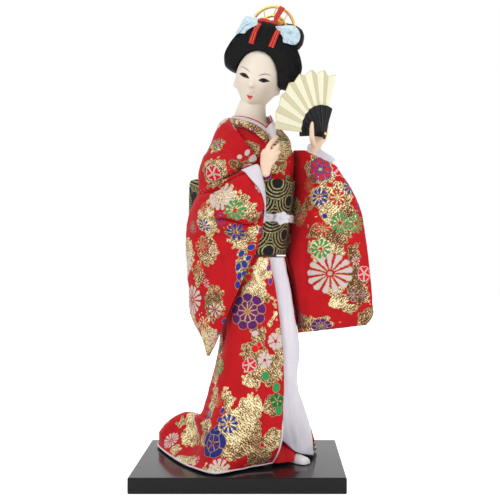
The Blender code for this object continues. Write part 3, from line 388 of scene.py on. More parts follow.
class Paint:
    """One material with its shader and node helpers."""

    def __init__(self, name, color=(0.8, 0.8, 0.8), rough=0.6, metal=0.0, **constants):
        self.mat = bpy.data.materials.new(name)
        self.mat.use_nodes = True
        self.tree = self.mat.node_tree
        self.shader = self.tree.nodes["Principled BSDF"]
        self.shader.inputs["Base Color"].default_value = (*color, 1.0)
        self.shader.inputs["Roughness"].default_value = rough
        self.shader.inputs["Metallic"].default_value = metal
        for key, value in constants.items():
            self.shader.inputs[key.replace("_", " ")].default_value = value

    def node(self, kind, **inputs):
        node = self.tree.nodes.new(kind)
        for key, value in inputs.items():
            socket = node.inputs[key]
            if isinstance(value, Scalar):
                value = value.socket
            if isinstance(value, bpy.types.NodeSocket):
                self.tree.links.new(value, socket)
            else:
                socket.default_value = value
        return node

    def wire(self, value, name):
        self.tree.links.new(value.socket if isinstance(value, Scalar) else value, self.shader.inputs[name])

    def place(self, scale=1000.0):
        """Object coordinates in millimetres."""
        coord = self.tree.nodes.new("ShaderNodeTexCoord")
        return self.scaled(coord.outputs["Object"], scale)

    def uv(self):
        return self.tree.nodes.new("ShaderNodeTexCoord").outputs["UV"]

    def scaled(self, vector, factor):
        node = self.tree.nodes.new("ShaderNodeVectorMath")
        node.operation = "MULTIPLY"
        self.tree.links.new(vector, node.inputs[0])
        node.inputs[1].default_value = factor if isinstance(factor, (tuple, list)) else (factor,) * 3
        return node.outputs[0]

    def shifted(self, vector, other):
        node = self.tree.nodes.new("ShaderNodeVectorMath")
        node.operation = "ADD"
        self.tree.links.new(vector, node.inputs[0])
        self.tree.links.new(other, node.inputs[1])
        return node.outputs[0]

    def split(self, vector):
        node = self.tree.nodes.new("ShaderNodeSeparateXYZ")
        self.tree.links.new(vector, node.inputs[0])
        return [Scalar(self.tree, s) for s in node.outputs]

    def join(self, x, y, z=0.0):
        return self.node("ShaderNodeCombineXYZ", X=x, Y=y, Z=z).outputs[0]

    def noise(self, vector, scale, detail=2.0, rough=0.5, warp=0.0):
        """Noise of about 0 to 1 with a middle of 0.5; scale in features per unit."""
        node = self.node("ShaderNodeTexNoise", Vector=vector, Scale=scale, Detail=detail,
                         Roughness=rough, Distortion=warp)
        return Scalar(self.tree, node.outputs["Fac"])

    def noise_color(self, vector, scale, detail=2.0):
        return self.node("ShaderNodeTexNoise", Vector=vector, Scale=scale, Detail=detail).outputs["Color"]

    def cells(self, vector, scale, feature="F1"):
        node = self.tree.nodes.new("ShaderNodeTexVoronoi")
        node.feature = feature
        self.tree.links.new(vector, node.inputs["Vector"])
        node.inputs["Scale"].default_value = scale
        return Scalar(self.tree, node.outputs["Distance"])

    def attribute(self, name):
        node = self.tree.nodes.new("ShaderNodeAttribute")
        node.attribute_name = name
        return node

    def value(self, name):
        return Scalar(self.tree, self.attribute(name).outputs["Fac"])

    def mix(self, factor, a, b, blend="MIX"):
        node = self.tree.nodes.new("ShaderNodeMix")
        node.data_type = "RGBA"
        node.blend_type = blend
        node.clamp_factor = True
        for value, socket in ((factor, node.inputs[0]), (a, node.inputs[6]), (b, node.inputs[7])):
            if isinstance(value, Scalar):
                value = value.socket
            if isinstance(value, bpy.types.NodeSocket):
                self.tree.links.new(value, socket)
            elif isinstance(value, (tuple, list)):
                socket.default_value = (*value, 1.0)
            else:
                socket.default_value = value
        return node.outputs[2]

    def shade(self, color, factor):
        """A colour times a scalar."""
        grey = self.node("ShaderNodeCombineColor", Red=factor, Green=factor, Blue=factor).outputs[0]
        return self.mix(1.0, color, grey, "MULTIPLY")

    def bump(self, height, depth, strength=1.0):
        """Bump of a height field; depth in millimetres."""
        node = self.node("ShaderNodeBump", Height=height)
        node.inputs["Strength"].default_value = strength
        node.inputs["Distance"].default_value = depth * 0.001
        self.tree.links.new(node.outputs[0], self.shader.inputs["Normal"])
        return node

    def threads(self, pitch, turn=0.0, vector=None):
        """Waves across the cloth with one crest per pitch millimetres, 0 to 1."""
        x, y, _ = self.split(self.uv() if vector is None else vector)
        t = x * (math.cos(turn) * 2 * math.pi / pitch) + y * (math.sin(turn) * 2 * math.pi / pitch)
        return t.op("SINE") * 0.5 + 0.5


def plain_weave(p, pitch=0.42, amount=0.5):
    """Height of a plain weave, 0 to 1."""
    warp = p.threads(pitch)
    weft = p.threads(pitch, math.pi / 2)
    cross = p.threads(pitch * 2) * p.threads(pitch * 2, math.pi / 2)
    return (warp + weft) * (0.5 * amount) + cross * (1 - amount)


# Brocade prints. Colours are linear.
RED = (0.76, 0.012, 0.020)
BLUE = (0.030, 0.040, 0.30)
PURPLE = (0.115, 0.016, 0.15)
GREEN = (0.040, 0.33, 0.10)
LEAF = (0.010, 0.17, 0.035)
WHITE = (0.72, 0.58, 0.57)
GOLD = (0.56, 0.42, 0.17)
BROWN = (0.26, 0.10, 0.04)

# Each flower: petals, fill, outline, middle, petal width, outline width, middle size, petal start, tip, inner ring.
FLOWERS = {
    "mum_white": (13, WHITE, (0.38, 0.26, 0.11), (0.66, 0.40, 0.38), 0.78, 0.022, 0.12, 0.17, 0.16, 0.0),
    "mum_purple": (9, PURPLE, GOLD, (0.25, 0.30, 0.06), 0.99, 0.020, 0.09, 0.08, 0.14, 0.58),
    "daisy_blue": (9, BLUE, (0.40, 0.34, 0.22), (0.55, 0.02, 0.02), 0.66, 0.022, 0.17, 0.22, 0.30, 0.0),
    "daisy_red": (9, (0.55, 0.02, 0.02), GOLD, (0.50, 0.33, 0.12), 0.74, 0.030, 0.10, 0.16, 0.34, 0.0),
    "daisy_green": (10, GREEN, (0.42, 0.36, 0.16), (0.55, 0.02, 0.02), 0.68, 0.025, 0.18, 0.24, 0.26, 0.0),
    "daisy_purple": (8, PURPLE, GOLD, (0.50, 0.05, 0.04), 0.78, 0.050, 0.16, 0.18, 0.26, 0.0),
    "red_blue": (8, (0.58, 0.03, 0.03), BLUE, (0.60, 0.48, 0.24), 0.99, 0.060, 0.15, 0.18, 0.14, 0.0),
    "sakura_white": (5, WHITE, (0.48, 0.36, 0.16), (0.55, 0.015, 0.02), 0.92, 0.030, 0.22, 0.10, -0.16, 0.0),
    "sakura_red": (5, RED, WHITE, (0.60, 0.46, 0.22), 0.99, 0.085, 0.15, 0.02, -0.16, 0.0),
    "star_white": (8, WHITE, (0.55, 0.02, 0.02), (0.55, 0.02, 0.02), 0.52, 0.020, 0.10, 0.12, 0.45, 0.0),
    "rose_blue": (5, (0.022, 0.026, 0.20), (0.40, 0.30, 0.14), (0.35, 0.03, 0.04), 0.99, 0.025, 0.13, 0.04, 0.10,
                  0.60),
    "leaf_green": (1, GREEN, GOLD, GREEN, 1.1, 0.060, 0.0, -0.5, 0.02, 0.0),
    "leaf_dark": (5, LEAF, (0.30, 0.30, 0.10), LEAF, 0.90, 0.035, 0.05, 0.04, 0.20, 0.0),
    "petal_blue": (1, BLUE, GOLD, BLUE, 1.1, 0.090, 0.0, -0.5, 0.02, 0.0),
    "petal_purple": (1, (0.20, 0.03, 0.28), GOLD, PURPLE, 1.1, 0.080, 0.0, -0.5, 0.02, 0.0),
    "petal_white": (1, WHITE, BROWN, WHITE, 1.1, 0.080, 0.0, -0.5, 0.02, 0.0),
    "dot_red": (1, RED, GOLD, RED, 1.1, 0.060, 0.0, -0.5, 0.02, 0.0),
}


def flower_nodes(p, layer, wobble):
    """Colour and cover of one layer of flowers."""
    x, y, count = p.split(p.attribute(layer + "_pos").outputs["Vector"])
    fill = p.attribute(layer + "_fill")
    line = p.attribute(layer + "_line")
    middle = p.attribute(layer + "_mid")
    start, tip, ring = p.split(p.attribute(layer + "_form").outputs["Vector"])
    wx, wy, _ = p.split(wobble)
    x = x + (wx - 0.5) * 0.10
    y = y + (wy - 0.5) * 0.10
    width = Scalar(p.tree, fill.outputs["Alpha"])
    edge = Scalar(p.tree, line.outputs["Alpha"])
    core = Scalar(p.tree, middle.outputs["Alpha"])
    r = (x * x + y * y).op("SQRT")
    turn = y.op("ARCTAN2", x) * count / (2 * math.pi)

    def petals(r, shift):
        g = (turn + (0.5 + shift)).op("FRACT") - 0.5
        g = g.op("ABSOLUTE") * 2.0
        round_tip = tip.op("MAXIMUM", 0.0) * g * g
        notch = tip.op("MINIMUM", 0.0) * (1.0 - g * 3.0).op("MAXIMUM", 0.0)
        rim = 1.0 - round_tip + notch - r
        side = (width - g) * r * math.pi / count + count.op("LESS_THAN", 1.5) * 5.0
        return rim.op("MINIMUM", side).op("MINIMUM", r - start)

    d = petals(r, 0.0)
    cover = d.step(0.0, 0.02)
    rim = 1.0 - d.step(edge, edge + 0.02)
    # A second ring of petals lies over the first.
    size = ring.op("MAXIMUM", 0.01)
    inner = petals(r / size, 0.5) * size
    over = inner.step(-0.02, 0.0) * (ring * 50.0).op("MINIMUM", 1.0)
    rim = rim * (1.0 - over) + (1.0 - inner.step(edge, edge + 0.02)) * over
    disc = 1.0 - r.step(core - 0.03, core)
    color = p.mix(rim, fill.outputs["Color"], line.outputs["Color"])
    color = p.mix(disc, color, middle.outputs["Color"])
    cover = cover.op("MAXIMUM", disc).op("MAXIMUM", over * cover)
    return color, cover, rim * cover


def brocade(name, ground=RED, ground_dark=(0.46, 0.005, 0.010)):
    """Red brocade: woven ground, gold-thread clouds and two layers of flowers."""
    p = Paint(name, rough=0.62, Sheen_Weight=0.05, Sheen_Roughness=0.5, Specular_IOR_Level=0.12)
    mm = p.place()
    weave = plain_weave(p, 0.40)
    coarse = p.noise(mm, 0.09, 3.0)
    fine = p.noise(mm, 1.6, 3.0)
    grain = p.noise(p.scaled(mm, (1.0, 1.0, 3.0)), 2.2, 2.0)
    color = p.mix((coarse * 0.55 + fine * 0.45 - 0.28) * 1.3, ground_dark, ground)
    color = p.shade(color, weave * 0.25 + grain * 0.30 + 0.72)

    # Clouds of gold thread: a mask with lacy edges, hatched with light and dark threads. The tone attribute makes
    # whole clouds lighter or darker, as painted light and painted shade.
    field = p.value("gold")
    tone = p.value("tone")
    field = field + (p.noise(mm, 0.22, 4.0, 0.62) - 0.55) * 6.0 + (p.cells(mm, 0.27) - 0.42) * -4.5 - 0.4
    cloud = field.step(-0.10, 0.12)
    border = 1.0 - (field - 0.45).op("ABSOLUTE").step(0.12, 0.42)
    warp = p.noise(mm, 0.5, 2.0)
    slant = p.shifted(p.uv(), p.join(warp * 2.6, warp * -1.8))
    hatch = p.threads(1.30, 2.35, slant)
    speck = p.noise(mm, 1.0, 3.0, 0.8)
    patch = p.noise(mm, 0.16, 3.0)
    # light: the threads' hatch and specks, plus the painted light and shade carried by tone.
    light = (hatch * 0.42 + speck * 2.9 + patch * 1.0 + tone * 0.62 - 2.20).op("MULTIPLY", 1.5, clamp=True)
    thread = p.mix(light.step(0.0, 0.5), (0.120, 0.034, 0.014), (0.36, 0.19, 0.070))
    thread = p.mix(light.step(0.42, 0.95), thread, (0.90, 0.80, 0.48))
    thread = p.mix(border * 0.6, thread, (0.56, 0.44, 0.20))
    color = p.mix(cloud, color, thread)

    wobble = p.noise_color(mm, 0.9, 2.0)
    second, cover2, _ = flower_nodes(p, "b", wobble)
    first, cover1, rim1 = flower_nodes(p, "a", wobble)
    streak = grain * 0.35 + weave * 0.18 + 0.70
    color = p.mix(cover2, color, p.shade(second, streak))
    color = p.mix(cover1, color, p.shade(first, streak))
    p.wire(color, "Base Color")

    bare = (1.0 - cover1) * (1.0 - cover2)
    metal = (cloud * bare * light.step(0.2, 0.8) * 0.45).op("MAXIMUM", (rim1 * cover1) * 0.2)
    p.wire(metal, "Metallic")
    p.wire(0.66 - metal * 0.45, "Roughness")
    raised = weave * 0.35 + (cloud * bare) * (hatch * 0.5 + speck * 0.7) + cover1 * 0.55 + cover2 * 0.35
    p.bump(raised + grain * 0.4, 0.16, 0.7)
    return p.mat


def face_data(obj):
    """Points, normals and corners of a mesh in doll units."""
    mesh = obj.data
    co = np.empty(len(mesh.vertices) * 3)
    mesh.vertices.foreach_get("co", co)
    co = co.reshape(-1, 3) * 1000.0 - [0, 0, BASE_HEIGHT]
    corner = np.empty(len(mesh.loops), np.int32)
    mesh.loops.foreach_get("vertex_index", corner)
    start = np.empty(len(mesh.polygons), np.int32)
    mesh.polygons.foreach_get("loop_start", start)
    total = np.empty(len(mesh.polygons), np.int32)
    mesh.polygons.foreach_get("loop_total", total)
    centre = np.empty(len(mesh.polygons) * 3)
    mesh.polygons.foreach_get("center", centre)
    centre = centre.reshape(-1, 3) * 1000.0 - [0, 0, BASE_HEIGHT]
    normal = np.empty(len(mesh.polygons) * 3)
    mesh.polygons.foreach_get("normal", normal)
    vnormal = np.empty(len(mesh.vertices) * 3)
    mesh.vertices.foreach_get("normal", vnormal)
    return co, corner, start, total, centre, normal.reshape(-1, 3), vnormal.reshape(-1, 3)


def spot_at(centre, normal, point, radius):
    """Middle normal and tangents of the cloth near a point."""
    near = np.linalg.norm(centre - point, axis=1)
    first = normal[near.argmin()]
    group = normal[(near <= max(radius * 0.7, near.min())) & (normal @ first > 0.3)]
    n = group.mean(0)
    n /= np.linalg.norm(n)
    up = np.array([0.0, 0.0, 1.0]) - n * n[2]
    if np.linalg.norm(up) < 0.15:
        up = np.array([0.0, 1.0, 0.0]) - n * n[1]
    up /= np.linalg.norm(up)
    return n, np.cross(up, n), up


def local(points, point, side, up):
    """Places on the cloth round a point: direction in its plane, true distance."""
    q = points - point
    x = q @ side
    y = q @ up
    flat = np.sqrt(x * x + y * y)
    stretch = np.clip(np.linalg.norm(q, axis=-1) / np.maximum(flat, 1e-6), 1.0, 1.7)
    return x * stretch, y * stretch


def print_cloth(obj, flowers, clouds, seed, hidden=26, base=-12.0,
                mix=("daisy_blue", "daisy_red", "daisy_green", "mum_white",
                     "sakura_white", "mum_purple", "red_blue", "sakura_red")):
    """Writes the brocade print of a piece. Flowers and clouds are placed on the side seen in the photograph by
    its pixels; the hidden sides get more of the same from a seeded choice."""
    co, corner, start, total, centre, normal, vnormal = face_data(obj)
    tree = tree_of(obj)
    rng = np.random.default_rng(seed)
    spots = []
    fields = []

    def hit(px, py):
        origin, d = sight(px, py)
        found = tree.ray_cast(Vector(metres(origin)), Vector(d))
        if found[0] is None:
            return None
        return np.array(found[0]) * 1000.0 - [0, 0, BASE_HEIGHT]

    for kind, px, py, r, *rest in flowers:
        point = hit(px, py)
        if point is None:
            continue
        scale = (point[1] - CAMERA[1]) / 838.0
        turn = rest[0] if rest else 0.0
        squash = rest[1] if len(rest) > 1 else 1.0
        spots.append((point, r * scale, kind, math.radians(turn), squash))
    # A cloud's last number sets the tone of its gold thread. On these listed clouds it is partly the thread's own
    # tone and partly painted light and painted shade, for where the cloud lies lit or shaded.
    for px, py, rx, ry, *rest in clouds:
        point = hit(px, py)
        if point is None:
            continue
        scale = (point[1] - CAMERA[1]) / 838.0
        fields.append((point, rx * scale, ry * scale, math.radians(rest[0] if rest else 0.0),
                       rest[1] if len(rest) > 1 else 0.5))

    # More of the print where the photograph doesn't show it.
    eye = np.array(CAMERA)
    outside = total == 4
    order = rng.permutation(np.nonzero(outside)[0])[:hidden * 60]
    placed = 0
    for f in order:
        if placed >= hidden:
            break
        point = centre[f]
        if np.dot(normal[f], eye - point) > 0.12 * np.linalg.norm(eye - point):
            origin = Vector(metres(point + normal[f] * 0.3))
            toward = Vector(eye - point).normalized()
            if tree.ray_cast(origin, toward)[0] is None:
                continue
        radius = rng.choice([5.5, 6.5, 7.5, 11.0, 13.0])
        if any(np.linalg.norm(point - s[0]) < (radius + s[1]) * 0.86 for s in spots):
            continue
        kind = rng.choice(mix)
        if kind in ("mum_white", "mum_purple"):
            radius = max(radius, 10.0)
        elif radius > 8:
            radius = 7.0
        spots.append((point, radius, kind, rng.uniform(0, 6.28), 1.0))
        if rng.random() < 0.6:
            around = rng.normal(size=3) * 3.0
            fields.append((point + around, radius + rng.uniform(2, 7), radius + rng.uniform(1, 5),
                           rng.uniform(0, 3.1), rng.uniform(0.2, 0.8)))
        placed += 1

    loops = len(corner)
    data = {}
    for layer in "ab":
        data[layer] = {
            "pos": np.tile([9.0, 9.0, 5.0], (loops, 1)), "fill": np.tile([1.0, 1.0, 1.0, 0.5], (loops, 1)),
            "line": np.tile([1.0, 1.0, 1.0, 0.1], (loops, 1)), "mid": np.tile([1.0, 1.0, 1.0, 0.0], (loops, 1)),
            "form": np.tile([0.0, 0.0, 0.0], (loops, 1)), "taken": np.zeros(len(centre), bool)}
    for point, radius, kind, turn, squash in spots:
        n, side, up = spot_at(centre, normal, point, radius)
        near = np.nonzero((np.linalg.norm(centre - point, axis=1) < radius * 1.05 + 1.6) & (normal @ n > 0.1))[0]
        if not len(near):
            continue
        index = np.concatenate([np.arange(start[f], start[f] + total[f]) for f in near])
        owner = np.repeat(np.arange(len(near)), total[near])
        x, y = local(co[corner[index]], point, side, up)
        c, s = math.cos(turn), math.sin(turn)
        x, y = (x * c + y * s) / radius, (-x * s + y * c) / (radius * squash)
        reach = np.full(len(near), 9.0)
        np.minimum.at(reach, owner, np.hypot(x, y))
        inside = reach < 1.03
        count, fill, line, middle, width, edge, core, first, tip, ring = FLOWERS[kind]
        for layer in "ab":
            d = data[layer]
            use = inside & ~d["taken"][near]
            pick = use[owner]
            at = index[pick]
            d["pos"][at] = np.stack([x[pick], y[pick], np.full(pick.sum(), count)], 1)
            d["fill"][at] = (*fill, width)
            d["line"][at] = (*line, edge)
            d["mid"][at] = (*middle, core)
            d["form"][at] = (first, tip, ring)
            d["taken"][near[use]] = True
            inside = inside & ~use
    mesh = obj.data
    for layer in "ab":
        for key, kind in (("pos", "FLOAT_VECTOR"), ("fill", "FLOAT_COLOR"), ("line", "FLOAT_COLOR"),
                          ("mid", "FLOAT_COLOR"), ("form", "FLOAT_VECTOR")):
            made = mesh.attributes.new(layer + "_" + key, kind, "CORNER")
            name = "color" if kind == "FLOAT_COLOR" else "vector"
            made.data.foreach_set(name, data[layer][key].astype(np.float32).ravel())
    gold = np.full(len(co), base)
    tone = np.full(len(co), 0.5)
    # The tone attribute takes each cloud's tone: painted light and shade on the listed clouds, random tone on the
    # seeded ones.
    for point, rx, ry, turn, tone_and_painted_light in fields:
        n, side, up = spot_at(centre, normal, point, min(rx, ry))
        x, y = local(co, point, side, up)
        c, s = math.cos(turn), math.sin(turn)
        x, y = x * c + y * s, -x * s + y * c
        value = (1.0 - np.hypot(x / rx, y / ry)) * min(rx, ry)
        value = np.where(vnormal @ n > -0.1, value, -12.0)
        tone = np.where(value > gold, tone_and_painted_light, tone)
        gold = np.maximum(gold, value)
    for key, values in (("gold", gold), ("tone", tone)):
        mesh.attributes.new(key, "FLOAT", "POINT").data.foreach_set("value", values.astype(np.float32))


# Torso, as in the CAD: height, centre x and y, half width, half depth, drop of the front.
TORSO = [
    (118.0, 8.5, 0.0, 18.5, 17.0, 0.0), (131.0, 8.7, 0.0, 18.3, 17.0, 0.0), (145.0, 10.8, 0.0, 17.8, 16.8, 0.0),
    (160.0, 13.0, 0.0, 17.6, 16.6, 0.0), (180.0, 15.2, 0.0, 18.3, 16.6, 0.0), (192.0, 14.5, -0.5, 20.2, 17.2, 0.0),
    (202.0, 12.3, -1.0, 20.2, 17.5, 1.0), (210.0, 9.8, -0.8, 16.4, 16.0, 2.0), (215.0, 7.8, -0.2, 14.2, 13.8, 3.5),
    (218.0, 6.8, 0.9, 12.9, 12.6, 5.0),
]
SIDES = 12


def ellipse(centre, rx, ry, count, tilt=0.0):
    """Level ring round a centre, from the front towards +X, the front lowered by tilt."""
    cx, cy, cz = centre
    angle = np.arange(count) * 2 * math.pi / count
    return np.stack([cx + rx * np.sin(angle), cy - ry * np.cos(angle), cz - tilt * (1 + np.cos(angle)) / 2], axis=1)


NET = np.array([ellipse((cx, cy, z), rx, ry, SIDES, drop) for z, cx, cy, rx, ry, drop in TORSO])


def at_net(net, u, v):
    """Points of a closed net at any arrays of u and v."""
    iv, fv = stops(len(net), v, False)
    iu, fu = stops(net.shape[1], u, True)
    block = extended(net)[iv[..., :, None], iu[..., None, :]]
    return np.einsum("...i,...j,...ijc->...c", weights(fv), weights(fu), block)


def on_net(net, u, v, offset, flip=1.0):
    """Points over a closed net, pushed along its normal."""
    u, v = np.broadcast_arrays(np.asarray(u, float), np.asarray(v, float))
    top = len(net) - 1.0
    v = np.clip(v, 0.0, top - 0.01)
    du = at_net(net, u + 0.05, v) - at_net(net, u - 0.05, v)
    dv = at_net(net, u, np.minimum(v + 0.05, top)) - at_net(net, u, np.maximum(v - 0.05, 0.0))
    n = np.cross(du, dv) * flip
    n /= np.linalg.norm(n, axis=-1, keepdims=True)
    offset = np.broadcast_to(np.asarray(offset, float), u.shape)
    return at_net(net, u, v) + n * offset[..., None], n


def torso(u, v, offset):
    return on_net(NET, u, v, offset)[0]


def rim(count, thick, low, high):
    """Rounded cross-section of a folded band: position across 0 to 1 and offset from low to high."""
    across = np.linspace(0.0, 1.0, count)
    edge = np.minimum(across, 1 - across) * count / 3.0
    return across, low + (high - low) * np.sqrt(np.clip(1 - (1 - np.clip(edge, 0, 1)) ** 2, 0, 1))


def raised(p):
    """Collars stand against the neck, higher at the doll's right and behind."""
    px = project(p)[..., 0]
    lift = np.interp(px, [225, 245, 259, 266, 274, 290], [5.0, 4.6, 3.2, 2.2, 1.0, 0.6])
    return p + lift[..., None] * [0.0, 0.0, 1.0]


def band(name, mat, nodes, edge_a, edge_b, low, high, rows, columns, wave=0.0, seed=1):
    """Flat padded band on the torso between two edge curves given as u, v."""
    a = smooth_line(edge_a, rows)
    b = smooth_line(edge_b, rows)
    across, height = rim(columns, high - low, low, high)
    uv = a[:, None] * (1 - across)[None, :, None] + b[:, None] * across[None, :, None]
    outer = torso(uv[..., 0], uv[..., 1], np.broadcast_to(height, uv.shape[:2]))
    if wave:
        outer = outer + grid_normals(outer)[..., :] * (ripple(outer, 14.0, seed) * wave)[..., None]
    inner = torso(uv[..., 0], uv[..., 1], np.full(uv.shape[:2], low - 0.15))
    return shell(name, raised(outer), 0.0, mat, nodes, inner=raised(inner))


def ring_net(table):
    rings = []
    for z_left, z_right, *points in table:
        x_left = points[0][0]
        x_right = points[4][0]
        rings.append([(x, y, z_left + (z_right - z_left) * (x - x_left) / (x_right - x_left)) for x, y in points])
    return np.array(rings)


SLEEVE_RIGHT = ring_net([
    (218.9, 220.2, (-11.8, 0), (-10.8, -2.4), (-9.4, -4.4), (-8.0, -4.8), (-6.8, -3.6), (-7.8, 0), (-9.4, 2.6),
     (-11.4, 2.4)),
    (215.6, 208.6, (-14.6, 0), (-13.4, -6), (-9, -13), (-4.4, -17.6), (-0.6, -18.4), (-6, -9), (-9, 0), (-12, 5)),
    (201.8, 197.5, (-19.7, -1), (-18, -9), (-10, -16.5), (0, -21), (8, -21.4), (-2, -13), (-8, -2), (-14, 6)),
    (193.5, 192, (-24.1, -2), (-22, -12), (-12, -19.5), (0, -22.4), (11, -21.4), (-2, -15), (-8.5, -3), (-17, 5.5)),
    (184.5, 188.5, (-26.8, -4), (-24, -15), (-14, -23), (-2, -26.4), (10, -24), (-2, -17.4), (-9.5, -4), (-19, 4)),
    (174, 184.5, (-26.6, -6), (-22, -13), (-13, -18.5), (-3, -23.5), (8, -25), (-3, -18), (-10, -4), (-20, 2)),
    (170.5, 186, (-27.2, -6), (-22, -16.5), (-12, -25), (2, -33), (11.4, -31), (0, -22.5), (-10.5, -6), (-20, 0)),
    (165, 176, (-30.8, -5), (-25, -18), (-13, -28), (4, -34.5), (14.4, -29.5), (2, -23.8), (-10.5, -8), (-22, -2)),
    (158, 165, (-32.8, -4), (-27, -18), (-14, -30), (4, -35), (15.8, -28.5), (3, -24), (-10.5, -8), (-23, -2)),
    (151.5, 153, (-34.2, -3), (-28, -18), (-15, -29.5), (3, -34), (15, -27.5), (3, -23.8), (-10.5, -8), (-24, -2)),
    (147, 146, (-34.9, -3), (-28, -17), (-15, -25), (2, -30), (14.4, -27), (3, -23.5), (-11, -8), (-24, -2)),
    (143, 141, (-35.2, -2), (-28, -15), (-15, -21), (0, -25.5), (12.8, -26), (2, -22.6), (-11, -8), (-24, -1)),
    (134, 132, (-35, -2), (-28, -15), (-15, -22), (0, -26), (10, -25.5), (0, -21.5), (-12, -8), (-24, 0)),
    (122, 121, (-34.2, -2), (-28, -14), (-16, -22), (-4, -26.5), (4, -25.5), (-4, -21), (-15, -9), (-24, 1)),
    (108, 108, (-33.4, -2.5), (-28, -13), (-18, -22), (-8, -26), (-1.4, -25), (-9, -20), (-18, -9), (-26, 1)),
    (93, 92, (-32.4, -4), (-28, -13), (-21, -20.5), (-13, -24), (-7.9, -23.5), (-14, -18), (-21, -9), (-27, -1)),
    (78, 77, (-24.8, -8), (-23, -13), (-20, -17), (-16.5, -18.5), (-14.2, -17.5), (-17, -14), (-20, -10), (-23, -7)),
    (67.5, 67.5, (-21.2, -13), (-20.8, -14), (-20.1, -14.4), (-19.4, -14.2), (-19, -13.4), (-19.4, -12.6),
     (-20.1, -12.2), (-20.8, -12.4)),
])
SLEEVE_LEFT = ring_net([
    (199.5, 197, (34.4, 2), (37.2, -5), (40, -11), (43, -12), (45.5, -10.5), (43, -5), (40, 1), (36.5, 5)),
    (197, 190, (34, 6), (37.4, -4), (44, -14.5), (52, -15), (59.4, -11), (54, -4), (46, 3), (38, 9)),
    (188, 182, (33.6, 9), (37.6, -3), (46, -16), (57, -16.5), (65.2, -11), (58, -3), (47, 5), (38, 12)),
    (177, 172, (32.8, 11), (37.2, -1), (49, -18), (62, -17), (71.9, -11), (63, -3), (49, 6), (38, 14)),
    (163, 160, (31.6, 12), (36.2, 0), (48, -17.5), (66, -18), (76.9, -11), (66, -3), (50, 6), (38, 15)),
    (148, 146, (30.2, 11), (34.4, -1), (47, -18), (67, -18.5), (80, -11), (67, -3), (50, 5), (38, 14)),
    (132, 130, (29.4, 11.0), (33.2, -4), (46, -18.5), (68, -19), (81.7, -11), (68, -4), (51, 2), (40, 8)),
    (116, 115, (31.8, 10.6), (37.0, -12), (51, -20), (69, -19), (83.4, -11), (69, -6), (52, -4), (41, -4)),
    (100, 101, (34.6, 10.4), (39.5, -12.5), (52, -19.5), (70, -18), (84.7, -11.5), (70, -7), (53, -6), (43, -6)),
    (88, 93, (36.2, 4.0), (41, -12.5), (53, -17), (70, -16), (84.8, -12), (70, -9), (53, -8.5), (43, -8.5)),
    (82, 87, (37.2, -11), (43, -12.8), (53, -14), (68, -13.5), (80.5, -12), (68, -10.5), (53, -10), (43, -10)),
])
SKIRT = np.array([
    [(18.5, -18, 130.4), (9, -19.5, 130.4), (-1, -15.5, 130.4), (-8, -6, 130.4), (-9, 5, 130.4), (-5, 14, 130.4),
     (3, 19, 130.4), (13, 20, 130.4), (22, 16.5, 130.4), (29, 8, 130.4), (30.5, -2, 130.4)],
    [(22.5, -19, 112), (10, -22, 112), (-2, -18, 112), (-9.5, -7, 112), (-10.5, 6, 112), (-6, 16, 112),
     (3, 21.5, 112), (14, 22.5, 112), (24.5, 18.5, 112), (32.4, 9, 112), (34.4, -0.5, 112)],
    [(25.5, -20, 92), (10, -25, 92), (-4, -20, 92), (-11.5, -7.5, 92), (-12, 7, 92), (-7, 18, 92),
     (2, 24.5, 92), (14, 25.5, 92), (26.5, 20.5, 92), (34.8, 10, 92), (36.8, -0.5, 92)],
    [(27.4, -20.5, 72), (9, -28.5, 72), (-6, -23, 72), (-13.5, -8, 72), (-13.5, 9, 72), (-8, 21, 72),
     (1, 27.5, 72), (14, 28.5, 72), (28, 22.5, 72), (35.5, 11, 72), (35.5, 0, 72)],
    [(28, -23, 52), (8, -33, 52), (-9, -28, 52), (-18.5, -8, 52), (-16.5, 11, 52), (-11, 24, 52),
     (-1, 31, 52), (13, 32, 52), (28, 25.5, 52), (36, 13, 52), (35.5, 1, 52)],
    [(27.5, -26.5, 37), (7, -36.5, 37), (-11, -32, 37), (-22, -8, 37), (-19.5, 11, 37), (-13, 25, 37),
     (-2, 33, 37), (12, 35, 37), (28, 28.5, 37), (38, 15.5, 37), (39, 3, 37)],
    [(27.3, -28.5, 27), (6.5, -38, 27), (-13, -34.6, 27), (-25.4, -9, 27), (-23.4, 10, 25), (-20, 23.5, 23),
     (-11, 34, 23.4), (8, 37, 27), (27.5, 30.5, 27), (40, 17.5, 27), (42.5, 5, 27)],
    [(26.6, -29.5, 18), (6, -38.5, 18), (-14.5, -37.4, 17), (-27.6, -12, 16), (-29, 7, 16.5), (-37, 23.5, 20.6),
     (-27, 37, 19.6), (3, 40, 18), (26, 33.5, 18), (41.4, 21, 18), (45.6, 7, 18)],
    [(24.5, -29, 10), (5, -38, 9), (-15, -41, 8), (-28, -20, 7), (-36, -1, 7), (-49.5, 29, 13.5),
     (-38, 42, 12), (-3, 43, 11), (23, 38, 10), (42, 25, 10), (48, 9.5, 10)],
    [(21, -26, 2.8), (4, -34.5, 1.9), (-13, -45.5, 1.9), (-28, -32, 1.9), (-42, -9.5, 1.9), (-58, 29, 1.9),
     (-49, 44.5, 1.9), (-14, 47, 1.9), (18, 44, 1.9), (41, 33, 1.9), (50.5, 13, 1.9)],
], float)
